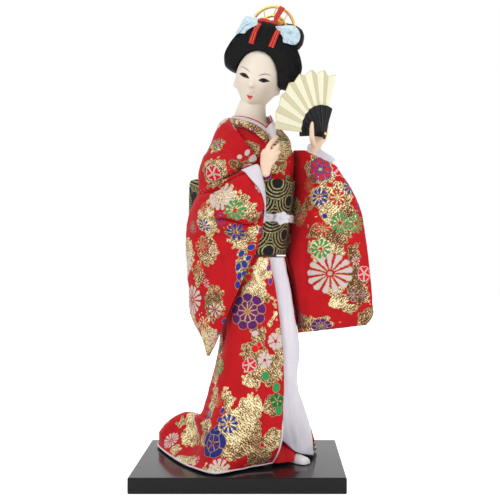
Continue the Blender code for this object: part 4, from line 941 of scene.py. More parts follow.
UNDER_ROBE = np.array([
    [(11, -16.2, 130), (18, -15.4, 130), (23, -15, 130), (26.4, -12.4, 130), (26.4, -6, 130), (25, 2, 130)],
    [(14, -18.4, 112), (22, -16.2, 112), (27, -15.6, 112), (30.0, -12.8, 112), (29.6, -6, 112), (28.4, 2, 112)],
    [(17, -19.4, 92), (25, -17.2, 92), (30, -16.4, 92), (33.4, -13, 92), (32.4, -5.5, 92), (31, 3, 92)],
    [(19, -19.8, 72), (27, -17.8, 72), (32.5, -16.8, 72), (36.4, -12, 72), (34.2, -4.5, 72), (31.8, 4, 72)],
    [(20, -22.6, 52), (27.5, -20.2, 52), (32, -18, 52), (35, -11.5, 52), (33.6, -4, 52), (31.6, 5, 52)],
    [(20, -25, 36), (27, -22.8, 36), (33, -19, 36), (38.4, -9.5, 36), (37, -1.5, 36), (34.2, 7, 36)],
    [(20, -26.5, 25), (27, -24.6, 25), (35, -19, 23), (43, -7, 22), (41.6, 1, 22), (37.8, 10, 22)],
    [(19, -25.6, 17.5), (26.5, -24.4, 16.5), (36, -17, 7.4), (47, -2.6, 1.8), (45.6, 5, 1.8), (41.6, 14, 1.8)],
], float)

FLOOR = 0.35


def hanging_cloth(p, normals, lines, seed, wave=0.35, size=15.0):
    """Presses creases into a grid and adds the small unevenness of sewn cloth."""
    p = press(p, normals, lines)
    soft = ripple(p, size, seed) * wave + ripple(p, size * 0.3, seed + 1, 2) * wave * 0.16
    return p + normals * soft[..., None]


# Red brocade pieces.
brocade_mat = brocade("brocade_red")

p = net_grid(SLEEVE_RIGHT, 200, 121)
n = outward(p, grid_normals(p, True))
p = hanging_cloth(p, n, [
    ([(197, 194), (216.6, 188), (227, 180), (244, 171.5), (252, 169)], 4.6, 1.8),
    ([(199, 189), (214, 183.5), (224, 176), (240, 167)], -1.6, 3.4),
    ([(204, 200), (220, 195), (232, 184), (246, 178)], -1.0, 4.0),
    ([(207, 218), (213, 219), (230, 220.5), (246.7, 226.5), (259.7, 220.8), (265.5, 207)], 4.2, 1.5),
    ([(212, 214), (230, 214.5), (246, 218.5), (257.5, 213), (262, 200)], -1.6, 4.0),
    ([(222, 160), (236, 168), (247, 170)], 0.9, 3.5),
    ([(232, 146), (240, 158), (246, 168)], 0.6, 3.0),
    ([(207, 150), (209, 164), (206, 178)], 0.5, 3.5),
    ([(212, 226), (218, 250), (222, 280), (218, 310)], 1.2, 4.0),
    ([(228, 240), (233, 268), (230, 300), (222, 326)], 1.2, 3.5),
    ([(198, 232), (200, 260), (203, 295), (207, 330)], 0.9, 3.5),
    ([(225, 196), (240, 200), (252, 208)], 0.5, 3.0),
], 11)
b = Builder()
closed_tube(b, p)
sleeve_right = b.piece("sleeve_right_cloth", brocade_mat, ["sleeve_right"])
print_cloth(sleeve_right, [
    ("sakura_red", 213.1, 173.7, 9.2, 20), ("petal_white", 239.5, 157, 2.9),
    ("petal_white", 247.3, 152.6, 3.8, 60, 0.7),
    ("petal_white", 253, 158.6, 6.2, 42, 0.6), ("petal_white", 247, 166.4, 6.0, 15, 0.34),
    ("daisy_green", 234.9, 209.9, 11.0, 10), ("mum_white", 220.5, 196, 15.0, 8), ("daisy_blue", 204.4, 225.6, 7.0),
    ("daisy_blue", 235.6, 232.2, 10.4, 5), ("red_blue", 221.5, 219.7, 6.4), ("daisy_red", 201.8, 245.9, 8.6),
    ("star_white", 213, 250, 4.6), ("daisy_purple", 192.4, 227, 6.5), ("daisy_red", 203.5, 207.5, 5.5),
    ("petal_blue", 251.2, 247.2, 4.6, 20, 0.7), ("petal_blue", 241.4, 253.7, 4.2, 60, 0.7),
    ("petal_blue", 248.6, 258, 3.6, 40, 0.7), ("petal_blue", 244.4, 264.2, 4.4, 110, 0.7),
    ("petal_blue", 238.2, 266.8, 4.6, 70, 0.6), ("petal_blue", 239.3, 276.2, 4.4, 80, 0.6),
    ("petal_blue", 237.8, 285, 4.4, 95, 0.7), ("petal_blue", 243.6, 273.4, 3.2, 60, 0.7),
    ("mum_white", 192.5, 300, 15.0, 12), ("star_white", 214.6, 310, 7.6, 11), ("daisy_red", 204.2, 323, 6.8),
    ("star_white", 214.6, 339.5, 7.6), ("petal_blue", 224, 321, 3.2, 70, 0.6),
    ("petal_blue", 219.6, 334.5, 3.6, 60, 0.6),
    ("petal_blue", 216, 345, 3.2, 60, 0.6), ("daisy_purple", 217.6, 142.6, 5.4),
    ("petal_purple", 263.4, 212, 3.4, 80, 0.6),
    ("petal_purple", 260.8, 230, 3.4, 80, 0.6), ("daisy_red", 198.5, 268, 6.0), ("star_white", 206, 283, 4.6),
], [
    (216, 146, 12, 9, 0, 0.5), (215, 173, 18, 17, 0, 0.42), (237, 166, 13, 8, -20, 0.12), (251, 163, 11, 8, 20, 0.15),
    (222, 197, 21, 12, 15, 0.85), (240, 207, 19, 14, 0, 0.62), (252, 215, 11, 9, 0, 0.2), (206, 222, 15, 20, 0, 0.72),
    (206, 250, 14, 17, 0, 0.35), (238, 236, 18, 13, -40, 0.5), (255, 232, 8, 14, -20, 0.55),
    (243, 265, 9, 20, 0, 0.5),
    (213, 303, 13, 19, 0, 0.3), (206, 335, 14, 22, 0, 0.72), (194, 322, 8, 22, 0, 0.6), (199, 275, 9, 14, 0, 0.4),
], 21, 22)

p = net_grid(SLEEVE_LEFT, 141, 141)
n = outward(p, grid_normals(p, True))
p = hanging_cloth(p, n, [
    ([(347, 190), (351, 215), (349, 245), (346, 275)], 1.5, 4.0), ([(303, 232), (305, 270), (304, 310)], 1.4, 3.5),
    ([(304, 203), (316, 210), (326, 218), (338, 221)], 2.0, 2.6),
    ([(300, 224), (312, 238), (328, 243), (342, 238)], 1.3, 3.0),
    ([(336, 200), (342, 240), (338, 285), (336, 322)], 0.5, 5.0), ([(309, 160), (313, 180), (310, 200)], 0.6, 3.0),
    ([(356, 236), (361, 262), (365, 300)], 0.5, 3.5), ([(320, 262), (316, 290), (318, 322)], 0.45, 5.0),
], 15, 0.3)
b = Builder()
closed_tube(b, p)
sleeve_left = b.piece("sleeve_left_cloth", brocade_mat, ["sleeve_left"])
print_cloth(sleeve_left, [
    ("red_blue", 320.6, 169.2, 12.4, 5), ("daisy_red", 308.4, 185.2, 7.4), ("daisy_blue", 319.2, 197, 9.0, 8),
    ("daisy_red", 337.6, 197.3, 9.0), ("daisy_blue", 349.6, 187, 8.2), ("daisy_green", 340.2, 222.8, 10.0, 0, 1.1),
    ("daisy_green", 355.8, 223.4, 8.6, 0, 1.2), ("daisy_red", 322.8, 228.8, 9.4, 0, 0.75),
    ("daisy_red", 300.4, 218.7, 8.4),
    ("petal_blue", 324.8, 216, 2.8), ("daisy_green", 320.8, 248.6, 10.2, 12),
    ("mum_white", 330, 273.4, 24.5, 10, 0.84),
    ("star_white", 356.3, 261, 5.0), ("sakura_red", 364.0, 273.6, 8.0, 15), ("daisy_purple", 353, 295, 7.0),
    ("daisy_purple", 363.2, 294.4, 5.0), ("mum_purple", 321.5, 326, 10.5, 0, 0.8), ("daisy_purple", 299.5, 322, 8.4),
    ("petal_purple", 298, 310.5, 4.2), ("dot_red", 341.4, 170, 2.4),
], [
    (321, 170, 20, 18, 0, 0.5), (322, 197, 19, 14, 0, 0.62), (341, 196, 15, 18, 0, 0.6), (333, 214, 17, 13, 0, 0.72),
    (347, 218, 14, 20, 0, 0.3), (336, 236, 16, 12, 0, 0.2), (320, 232, 17, 11, 0, 0.4), (322, 249, 17, 14, 0, 0.75),
    (339, 250, 9, 9, 0, 0.6), (300, 216, 13, 11, 0, 0.3), (354, 254, 9, 12, 0, 0.1), (357, 284, 13, 24, 0, 0.12),
    (339, 301, 12, 11, -10, 0.85), (349, 308, 12, 7, 0, 0.5), (336, 292, 10, 10, 0, 0.6), (316, 325, 22, 11, 5, 0.45),
    (304, 322, 9, 10, 0, 0.25), (308, 205, 9, 8, 0, 0.2), (367, 295, 4, 20, 0, 0.6),
], 22, 22)

p = net_grid(SKIRT, 175, 200, False)
n = outward(p, grid_normals(p))
p = hanging_cloth(p, n, [
    ([(226, 322), (223.5, 337), (218.5, 360), (211, 391), (202.5, 426), (200, 436)], 1.8, 2.0),
    ([(252, 326), (247, 343), (240, 368), (232, 394), (226, 414)], 1.6, 7.0),
    ([(262, 268), (258, 300), (256, 330)], 0.7, 4.5),
    ([(279, 380), (270, 405), (262, 426), (256, 452)], 1.0, 5.5),
    ([(283, 392), (280, 415), (274, 445)], 0.5, 3.0),
    ([(192, 431), (191, 444), (186, 456)], 4.6, 5.5),
    ([(240, 446), (225, 458), (205, 462)], 0.7, 4.0),
    ([(276, 285), (279, 315), (280, 350)], 0.4, 3.0),
], 31, 0.4, 22.0)
# The train's end stands up in a roll round a hollow.
pixels = project(p)
roll = smooth_line([(203, 424), (192, 418.5), (181, 419), (170, 427), (163, 438), (161, 446)], 40)
away = np.linalg.norm(pixels[..., None, :] - roll, axis=-1).min(-1)
low_part = np.clip((46.0 - p[..., 2]) / 20.0, 0, 1) * np.clip((6.0 - p[..., 0]) / 14.0, 0, 1)
lift = 3.4 * np.exp(-(away / 5.0) ** 2) * low_part * np.clip((p[..., 2] - 3.0) / 4.0, 0, 1)
p = p + n * lift[..., None] * [1.0, 1.0, 0.4] + [0.0, 0.0, 1.0] * (lift * 0.7)[..., None]
# The hem is padded and rolls at the edge.
down = np.linspace(0, 1, len(p))[:, None]
near_hem = np.clip((down - 0.93) / 0.07, 0, 1)
inner = p - n * (1.1 + 0.9 * np.sin(near_hem * math.pi / 2))[..., None]
for q in (p, inner):
    q[..., 2] = np.maximum(q[..., 2], FLOOR)
inner[0, :, 2] = 130.4
skirt = shell("skirt_cloth", p, 0.0, brocade_mat, ["kimono_skirt"], inner=inner)
print_cloth(skirt, [
    ("mum_purple", 247.5, 311.5, 19.0, 12), ("petal_purple", 268.6, 268, 3.6, 80, 0.6),
    ("petal_purple", 270.4, 281.5, 3.8, 80, 0.6),
    ("dot_red", 251, 270.7, 2.8), ("dot_red", 248.6, 277.4, 3.4), ("sakura_white", 275.5, 341.2, 9.0, 18),
    ("sakura_white", 264.8, 360.2, 8.2, 40), ("sakura_red", 249.3, 364.8, 7.6, 5), ("dot_red", 255, 348.7, 3.9),
    ("sakura_red", 283.6, 359.6, 6.0), ("dot_red", 259.4, 344.6, 2.6), ("leaf_green", 265.7, 376, 4.6),
    ("mum_white", 215.5, 341, 19.0, 9), ("leaf_green", 276.3, 387.7, 5.2, 60, 0.8),
    ("leaf_dark", 277, 400.4, 7.6, 20),
    ("leaf_green", 278.8, 410, 5.8, 80, 0.7), ("daisy_green", 219.5, 367.5, 9.0),
    ("petal_white", 255, 333.5, 4.0, 20, 0.8),
    ("leaf_green", 208.6, 383, 5.5, 75, 0.45), ("daisy_red", 217.7, 400.4, 7.4, 15),
    ("daisy_blue", 228.6, 423.9, 9.8, 8),
    ("petal_blue", 222.3, 410.7, 3.6, 60, 0.7), ("petal_blue", 219.6, 419.6, 3.6, 30, 0.7),
    ("petal_blue", 216.4, 428, 3.4, 60, 0.7),
    ("rose_blue", 212.6, 443, 15.5, 20), ("mum_white", 218.5, 471, 13.0, 5), ("daisy_blue", 208.5, 414.5, 6.2),
    ("petal_blue", 266.8, 462.2, 3.2, 30, 0.6), ("dot_red", 259.6, 464.8, 2.4),
    ("petal_blue", 253.6, 466.4, 3.0, 10, 0.6),
    ("mum_white", 171, 440.5, 9.6), ("star_white", 196, 461, 6.0), ("star_white", 317, 446, 5.0),
], [
    (262, 270, 11, 17, 0, 0.92), (248, 276, 8, 12, 0, 0.2), (272, 322, 5, 14, -30, 0.8),
    (280, 330, 3.5, 12, -25, 0.85),
    (266, 332, 4.0, 13, 35, 0.6), (276, 306, 3.0, 10, 30, 0.6), (268, 300, 5, 6, 0, 0.4), (258, 337, 10, 12, 0, 0.35),
    (266, 368, 23, 19, 10, 0.55), (281, 352, 9, 24, 0, 0.7), (253, 381, 15, 9, -10, 0.8), (248, 352, 8, 14, 0, 0.3),
    (218, 371, 12, 15, 0, 0.55), (213, 400, 12, 18, 10, 0.6), (228, 400, 8, 16, 15, 0.7), (237, 428, 22, 22, 0, 0.72),
    (248, 436, 17, 24, 10, 0.5), (252, 425, 13, 12, 0, 0.65), (236, 450, 18, 12, 0, 0.35),
    (205, 432, 12, 16, 0, 0.55),
    (217, 470, 22, 8, -8, 0.9), (192, 461, 17, 6, -20, 0.8), (175, 450, 13, 7, -40, 0.7),
    (254, 467, 16, 4.5, 12, 0.5),
    (186, 421, 14, 6, 25, 0.6), (196, 430, 6, 12, -20, 0.55), (283, 425, 2.4, 22, 0, 0.6), (316, 447, 7, 9, 0, 0.5),
], 23, 60)

# White line of the lining along the front edge and round the hem.
columns = p.shape[1]
start = int(len(p) * 0.60)
edge = np.concatenate([p[start:, 0], p[-1, 1:]])
edge = edge + np.concatenate([n[start:, 0], n[-1, 1:]]) * -0.25
edge[:, 2] = np.maximum(edge[:, 2], 1.0)
edge = smooth_line(edge[::3], len(edge))
radius = 0.62 * np.clip(np.minimum(np.arange(len(edge)) / 14.0, 1.0), 0.3, 1.0)
b = Builder()
closed_tube(b, tube_grid(edge, radius, 8, 1.0, (0.1, 0.05, 1.0)))
white_cloth = Paint("cloth_white", (0.70, 0.67, 0.73), 0.42, Sheen_Weight=0.25, Sheen_Roughness=0.4,
                    Specular_IOR_Level=0.4)
mm = white_cloth.place()
shade = white_cloth.noise(mm, 0.12, 3.0)
color = white_cloth.mix(shade, (0.60, 0.56, 0.66), (0.80, 0.78, 0.80))
weave = plain_weave(white_cloth, 0.30)
white_cloth.wire(white_cloth.shade(color, weave * 0.08 + 0.95), "Base Color")
white_cloth.bump(weave * 0.5 + white_cloth.noise(mm, 0.5, 3.0), 0.12, 0.5)
b.piece("skirt_hem_piping", white_cloth.mat)

# Bodice.
u = np.linspace(0, 12, 145)
v = np.linspace(3.2, 8.9, 64)
p = torso(u[None, :], v[:, None], 0.0)
n = outward(p, grid_normals(p, True))
p = hanging_cloth(p, n, [
    ([(277, 152), (271, 165), (264, 178)], 0.7, 1.4), ([(285, 160), (290, 170), (294, 179)], 0.6, 2.5),
    ([(232, 128), (230, 140), (228, 152)], 0.5, 3.0), ([(297, 146), (300, 160), (300, 176)], 0.6, 2.5),
    ([(280, 166), (286, 176)], 0.4, 2.0),
], 41, 0.25)
inner = torso(u[None, :], v[:, None], -1.3)
bodice = shell("bodice_cloth", p, 0.0, brocade_mat, ["kimono_bodice"], closed=True, inner=inner)
print_cloth(bodice, [
    ("sakura_white", 281, 143.5, 6.0), ("star_white", 285.4, 151, 5.6), ("daisy_red", 294, 157, 6.0, 5),
    ("leaf_green", 281.6, 163.4, 3.8), ("leaf_green", 294.8, 173, 3.0, 90, 0.6),
    ("leaf_green", 288, 177, 3.4, 10, 0.6),
    ("petal_purple", 268.6, 176, 4.0, 50, 0.6), ("daisy_red", 291, 146, 3.4),
    ("petal_white", 276.5, 156, 3.0, 60, 0.6),
    ("daisy_purple", 300, 166, 5.0), ("petal_white", 221, 138, 4.0, 30, 0.6),
], [
    (284, 148, 15, 14, 0, 0.62), (296, 156, 12, 14, 0, 0.55), (281, 166, 9, 10, 0, 0.5), (298, 172, 9, 9, 0, 0.5),
    (217, 140, 9, 9, 0, 0.4), (240, 124, 12, 6, 0, 0.3),
], 24, 12)


# Collars lie over each other at the chest.
gold_mat = brocade("brocade_gold", (0.34, 0.12, 0.05), (0.20, 0.05, 0.03))
collar_right = band("collar_right_cloth", gold_mat, ["collar_right"],
                    [(-5.9, 8.45), (-4.5, 8.5), (-3.0, 8.55), (-1.5, 8.15), (0.0, 7.35), (0.75, 6.55)],
                    [(-5.9, 7.5), (-4.5, 7.5), (-3.0, 7.6), (-1.5, 7.15), (-0.3, 6.5), (0.35, 5.8)],
                    1.35, 2.3, 110, 18, 0.15, 51)
collar_left = band("collar_left_cloth", gold_mat, ["collar_left"],
                   [(5.9, 8.25), (4.5, 8.2), (3.2, 8.15), (2.0, 7.5), (1.15, 6.5), (0.65, 5.6), (0.3, 4.8),
                    (0.1, 4.1)],
                   [(5.9, 7.5), (4.6, 7.35), (3.5, 7.1), (2.65, 6.4), (2.0, 5.5), (1.5, 4.9), (1.1, 4.45),
                    (0.85, 4.1)],
                   1.35, 2.3, 120, 18, 0.15, 52)
print_cloth(collar_right, [
    ("daisy_purple", 231.5, 131, 3.8), ("daisy_purple", 242.5, 131.8, 4.2, 30),
    ("petal_white", 228.5, 127, 2.2, 30, 0.6),
    ("petal_purple", 253, 131, 2.6, 40, 0.6), ("petal_white", 258, 138, 2.6, 60, 0.6),
], [], 25, 6, 2.0)
print_cloth(collar_left, [
    ("daisy_red", 273.5, 150.5, 3.4), ("leaf_green", 283, 139, 2.6), ("petal_white", 279, 144, 3.2, 50, 0.6),
    ("daisy_purple", 269, 166, 3.2), ("petal_white", 272, 159, 2.4, 60, 0.6),
], [], 26, 6, 2.0)

def at_pixel(px, py, y):
    """The point in doll units at a depth y that the photograph shows at a pixel."""
    scale = (y - CAMERA[1]) / 838.0
    return CAMERA[0] + (px - 276.0) * scale, y, CAMERA[2] - (py - 250.0) * scale


edge_in = [at_pixel(233, 117.0, 1.0), at_pixel(238, 116.7, -6.0), at_pixel(245, 117.4, -9.6),
           at_pixel(252, 119.3, -11.7),
           at_pixel(259, 122.4, -12.9), at_pixel(264, 125.6, -13.3), at_pixel(266.2, 127.4, -13.4),
           at_pixel(268.6, 124.6, -12.9), at_pixel(271.8, 121.0, -11.2), (19.2, -4, 221.0), (19.2, 4, 221.8),
           (14.0, 11.5, 222.4), (6.5, 13.8, 222.8), (-1.0, 11.5, 222.4), (-5.2, 6.0, 221.8)]
edge_out = [at_pixel(231, 119.0, 0.0), at_pixel(237, 119.8, -7.2), at_pixel(245, 122.0, -11.2),
            at_pixel(252, 127.2, -14.2),
            at_pixel(259, 134.0, -15.6), at_pixel(264, 140.5, -16.4), at_pixel(267.5, 146.0, -16.9),
            at_pixel(272.0, 144.0, -16.8), at_pixel(276.5, 134.0, -15.4), (21.6, -5, 216.5), (21.4, 5, 216.5),
            (15.5, 13.4, 217.5), (6.5, 15.8, 218.0), (-2.5, 13.4, 218.0), (-7.6, 6.5, 217.8)]
a_line = smooth_line(edge_in, 180, True)
b_line = smooth_line(edge_out, 180, True)
across, height = rim(14, 0.6, 0.0, 0.6)
p = a_line[None, :] * (1 - across)[:, None, None] + b_line[None, :] * across[:, None, None]
p = np.concatenate([p, p[:, :1]], axis=1)
n = outward(p, grid_normals(p, True), (8.0, 2.0, 214.0))
p = p + n * (height[:, None] + ripple(p, 9.0, 53) * 0.12)[..., None]
shell("under_collar_cloth", p, 0.0, white_cloth.mat, ["under_collar_white"], closed=True,
                     inner=p - n * 0.9)
piping = np.concatenate([a_line, a_line[:1]]) + [0.0, -0.25, 0.1]
red_cloth = Paint("cloth_red", RED, 0.6, Sheen_Weight=0.06, Specular_IOR_Level=0.14)
weave = plain_weave(red_cloth, 0.34)
tone = red_cloth.noise(red_cloth.place(), 0.25, 3.0)
red_cloth.wire(red_cloth.shade(red_cloth.mix(tone, (0.56, 0.007, 0.012), (0.80, 0.016, 0.022)), weave * 0.3 + 0.78),
               "Base Color")
red_cloth.bump(weave + red_cloth.noise(red_cloth.place(), 1.2, 2.0) * 0.4, 0.12, 0.6)
b = Builder()
closed_tube(b, tube_grid(piping, 0.42, 8, 1.0, (0.05, 0.1, 1.0)))
b.piece("collar_piping", red_cloth.mat, ["collar_piping_red"])


# Obi: gold scale arcs on black.
def obi_paint():
    p = Paint("obi_black", (0.01, 0.01, 0.01), 0.75, Sheen_Weight=0.04, Specular_IOR_Level=0.12)
    mm = p.place()
    uv = p.uv()
    x, y, _ = p.split(uv)
    wobble = p.noise(mm, 0.35, 2.0) - 0.5
    u = (x + wobble * 1.3 + 2.2) * (1 / 11.6)
    v = (y + wobble * 1.0 - 8.2) * (1 / 10.8)
    row = v.op("FLOOR")
    f = v - row
    odd = (row * 0.5).op("FRACT") * 2.0

    def wrap(t):
        return (t * 0.5 + 0.5).op("FRACT") * 2.0 - 1.0

    x0 = wrap(u - odd)
    x1 = wrap(u - odd - 1.0)
    d0 = (x0 * x0 + f * f).op("SQRT")
    back = 1.0 - f
    d1 = (x1 * x1 + back * back).op("SQRT")
    front = d0.op("LESS_THAN", 1.0)
    d = d0 * front + d1 * (1.0 - front)
    t = (d - 0.36) * (1 / 0.19)
    near = ((t + 0.5).op("FRACT") - 0.5).op("ABSOLUTE") * 0.19
    frayed = p.noise(mm, 1.8, 2.0)
    line = (1.0 - near.step(0.030, 0.058)) * d.step(0.27, 0.28) * frayed.step(0.30, 0.46)
    weave = plain_weave(p, 0.45)
    glint = p.noise(mm, 1.5, 2.0, 0.7)
    gold = p.mix(glint.step(0.35, 0.65), (0.17, 0.13, 0.055), (0.55, 0.50, 0.24))
    ground = p.shade(p.mix(p.noise(mm, 1.1, 3.0), (0.004, 0.004, 0.005), (0.026, 0.026, 0.026)), weave * 0.8 + 0.6)
    p.wire(p.mix(line, ground, gold), "Base Color")
    p.wire(line * 0.35, "Metallic")
    p.wire(0.78 - line * 0.38, "Roughness")
    p.bump(weave * 0.6 + line * 0.9, 0.22, 0.8)
    return p.mat


obi_mat = obi_paint()
u = np.linspace(0, 12, 141)
v = np.linspace(1.05, 3.97, 60)
across, height = rim(60, 1.0, 2.0, 2.6)
p = torso(u[None, :], v[:, None], height[:, None] * np.ones((1, 141)))
n = outward(p, grid_normals(p, True))
p = p + n * (ripple(p, 16.0, 61) * 0.2)[..., None]
p = press(p, n, [([(262, 208), (275, 210), (292, 207)], 0.5, 2.5), ([(260, 240), (276, 243), (292, 238)], 0.4, 2.5)])
inner = torso(u[None, :], v[:, None], 0.35)
shell("obi_cloth", p, 0.0, obi_mat, ["obi_band"], closed=True, inner=inner)

turn = math.radians(38)
back = np.array([-math.sin(turn), math.cos(turn), 0.0])
side = np.array([math.cos(turn), math.sin(turn), 0.0])
middle = np.array([-8.0, 23.8, 165.6])
stations = [(-1.0, 0.45), (-0.985, 0.80), (-0.95, 0.97), (-0.5, 1.0), (0.0, 0.94), (0.5, 1.0), (0.95, 0.97),
            (0.985, 0.80),
            (1.0, 0.45)]
fine = smooth_line(stations, 80)
angle = np.linspace(0, 2 * math.pi, 97)
c, s = np.cos(angle), np.sin(angle)
rows = []
for t, size in fine:
    size = min(size, 1.0)
    q = (np.abs(c) ** 4 + np.abs(s) ** 4) ** -0.25
    depth = 7.2 * size + np.where(c < 0, 6.4 * max(0.0, 1.0 - abs(t)), 0.0)
    tuck = 1.2 * np.exp(-(t / 0.10) ** 2) * np.clip(c, 0, 1)
    rows.append(middle + side * 29.0 * t + back * (depth * q * c - tuck)[:, None]
                + np.array([0, 0, 1.0]) * (16.0 * size * q * s)[:, None])
p = np.array(rows)
n = outward(p, grid_normals(p, True))
p = p + n * (ripple(p, 13.0, 62) * 0.3)[..., None]
b = Builder()
closed_tube(b, p)
b.piece("obi_drum_cloth", obi_mat, ["obi_drum"])

# White cord of three strands, with a knot in front.
cord_paint = Paint("cord_white", (0.76, 0.74, 0.80), 0.7, Sheen_Weight=0.3, Specular_IOR_Level=0.25)
mm = cord_paint.place()
fluff = cord_paint.noise(mm, 1.6, 4.0, 0.7)
lumps = cord_paint.cells(mm, 0.95)
cord_paint.wire(cord_paint.mix(fluff, (0.62, 0.60, 0.68), (0.86, 0.85, 0.88)), "Base Color")
cord_paint.bump(fluff + lumps * -0.8, 0.35, 0.8)
b = Builder()
a = np.linspace(0, 12, 361)
for k in range(3):
    v = 2.60 + 0.10 * k
    twist = 0.12 * np.sin(a * 9 + k * 2.1)
    path = torso(a, v + twist * 0.08, 3.75 + twist)
    grid3 = tube_grid(path, 0.98, 10, 1.0, (0.03, 0.06, 1.0))
    turns = np.linspace(0, 2 * math.pi, 11)
    swell = 1.0 + 0.07 * np.sin(a[:, None] * 24 + turns[None, :] * 2)
    grid3 = path[:, None] + (grid3 - path[:, None]) * swell[..., None]
    closed_tube(b, grid3)
b.piece("obijime_cord_white", cord_paint.mat, ["obijime_cord"])
centre = torso(1.22, 2.70, 6.6)
lat, lon = np.meshgrid(np.linspace(0.02, math.pi - 0.02, 60), np.linspace(0, 2 * math.pi, 97), indexing="ij")
d = np.stack([np.sin(lat) * np.cos(lon), -np.cos(lat), np.sin(lat) * np.sin(lon)], -1)
r = np.full(lat.shape, 0.72)
for k in range(6):
    a0 = k * math.pi / 3 + 0.3
    c0 = np.array([0.86 * math.cos(a0), -0.50, 0.86 * math.sin(a0)])
    r += 0.36 * np.exp(-np.sum((d - c0) ** 2, -1) / 0.13)
r += 0.16 * np.exp(-np.sum((d - [0.1, -1.0, 0.0]) ** 2, -1) / 0.10)
q = d * r[..., None] * [5.6, 3.3, 4.5]
q = q + d * (ripple(q, 2.2, 63, 2) * 0.16)[..., None] + centre
b = Builder()
closed_tube(b, q)
b.piece("obijime_knot_white", cord_paint.mat, ["obijime_knot"])

# Sleeve lining and cuff.
rows = smooth_line([(5.9, 3.05, 4.5), (6.6, 3.25, 4.5), (7.4, 3.6, 4.5), (8.2, 3.85, 4.5), (9.2, 4.05, 4.4)], 60)
mix = np.linspace(0, 1, 24)
u = rows[:, 1:2] * (1 - mix) + rows[:, 2:3] * mix
v = rows[:, 0:1] * np.ones((1, 24))
outer = on_net(SLEEVE_RIGHT, u, v, 1.15, -1.0)[0]
outer = outer + grid_normals(outer) * (ripple(outer, 9.0, 64) * 0.12)[..., None]
inner = on_net(SLEEVE_RIGHT, u, v, 0.3, -1.0)[0]
shell("sleeve_lining_cloth", outer, 0.0, white_cloth.mat, ["sleeve_right_lining"], inner=inner)

along = np.array([0.86, 0.0, -0.5])
up = np.array([0.5, 0.0, 0.86])
profile = smooth_line([(-5.0, 7.2, 2.4), (-1.0, 8.5, 3.1), (1.8, 9.7, 3.8), (3.2, 9.6, 3.8), (3.6, 9.3, 3.5),
                       (3.0, 8.9, 3.1), (1.0, 8.6, 2.9), (-3.0, 7.8, 2.2)], 44)
a = np.linspace(0, 2 * math.pi, 97)
p = np.array([np.array([50.6, -11.6, 194.4]) + up * h + np.cos(a)[:, None] * along * ra
              + np.sin(a)[:, None] * np.array([0.0, rb, 0.0]) for h, ra, rb in profile])
p = p + grid_normals(p, True) * (ripple(p, 7.0, 65) * 0.22)[..., None]
b = Builder()
closed_tube(b, p)
b.piece("sleeve_cuff_cloth", white_cloth.mat, ["sleeve_left_cuff"])

# Under robe: white satin, in the shade low down.
satin = Paint("satin_white", (0.72, 0.69, 0.75), 0.30, Sheen_Weight=0.1, Specular_IOR_Level=0.25)
mm = satin.place()
x, y, z = satin.split(mm)
low = 1.0 - z.step(10.0, 52.0)
streak = satin.noise(satin.scaled(mm, (1.0, 1.0, 0.12)), 0.22, 3.0)
color = satin.mix(streak, (0.66, 0.62, 0.73), (0.86, 0.84, 0.87))
color = satin.mix(low * (1.0 - x.step(24.0, 46.0)) * 0.75, color, (0.16, 0.12, 0.19))
satin.wire(color, "Base Color")
satin.bump(plain_weave(satin, 0.26) * 0.4 + streak, 0.10, 0.4)
UNDER_ROBE[:7, 3:, 0] += 1.6
UNDER_ROBE[:7, 2, 0] += 1.0
p = net_grid(UNDER_ROBE, 120, 56, False)
n = grid_normals(p)
if np.sum(n * (p - [10.0, 5.0, 60.0])) < 0:
    n = -n
p = hanging_cloth(p, n, [
    ([(284, 268), (288, 320), (291, 380)], 0.9, 2.6), ([(293, 384), (298, 415), (304, 446)], 1.6, 3.2),
    ([(288, 392), (291, 425), (297, 452)], 1.3, 3.0), ([(298, 395), (306, 420), (312, 446)], -0.9, 3.0),
], 66, 0.25, 12.0)
inner = p - n * 0.7
for q in (p, inner):
    q[..., 2] = np.maximum(q[..., 2], FLOOR)
shell("under_robe_satin", p, 0.0, satin.mat, ["under_robe_white"], inner=inner)

# Red under-skirt.
rings = [ellipse((cx, cy, z), rx, ry, 16) for z, cx, cy, rx, ry in (
    (58.0, 17.0, 0.0, 11.5, 12.5), (36.0, 19.0, -1.0, 13.5, 15.0), (18.0, 20.5, -2.5, 16.5, 18.0),
    (6.0, 21.0, -3.5, 18.6, 19.6), (2.0, 21.0, -3.8, 19.0, 20.0))]
p = net_grid(np.array(rings), 50, 141)
n = outward(p, grid_normals(p, True))
fold = np.sin(np.linspace(0, 2 * math.pi, 141) * 11)[None, :] * np.linspace(0.1, 0.6, 50)[:, None]
p = p + n * (fold - 0.5)[..., None]
inner = p - n * 0.8
for q in (p, inner):
    q[..., 2] = np.maximum(q[..., 2], FLOOR)
shell("under_skirt_cloth", p, 0.0, red_cloth.mat, ["under_skirt_red"], closed=True, inner=inner)


# Head: the frame sits at eye level, turned to the doll's right and tipped to its left.
HEAD_ORIGIN = np.array([10.7, 1.0, 243.8])
HEAD_TURN = np.array(Euler((0.0, 0.0, math.radians(-11.0))).to_matrix()
                     @ Euler((0.0, math.radians(13.0), 0.0)).to_matrix())
SKULL = np.array([0.0, 1.5, 2.5])


def head_world(points):
    return np.asarray(points, float) @ HEAD_TURN.T + HEAD_ORIGIN


def head_local(points):
    return (np.asarray(points, float) - HEAD_ORIGIN) @ HEAD_TURN


def swelling(d, centre, size):
    c = np.asarray(centre, float)
    c = c / np.linalg.norm(c)
    return np.exp(-np.sum((d - c) ** 2, -1) / size ** 2)


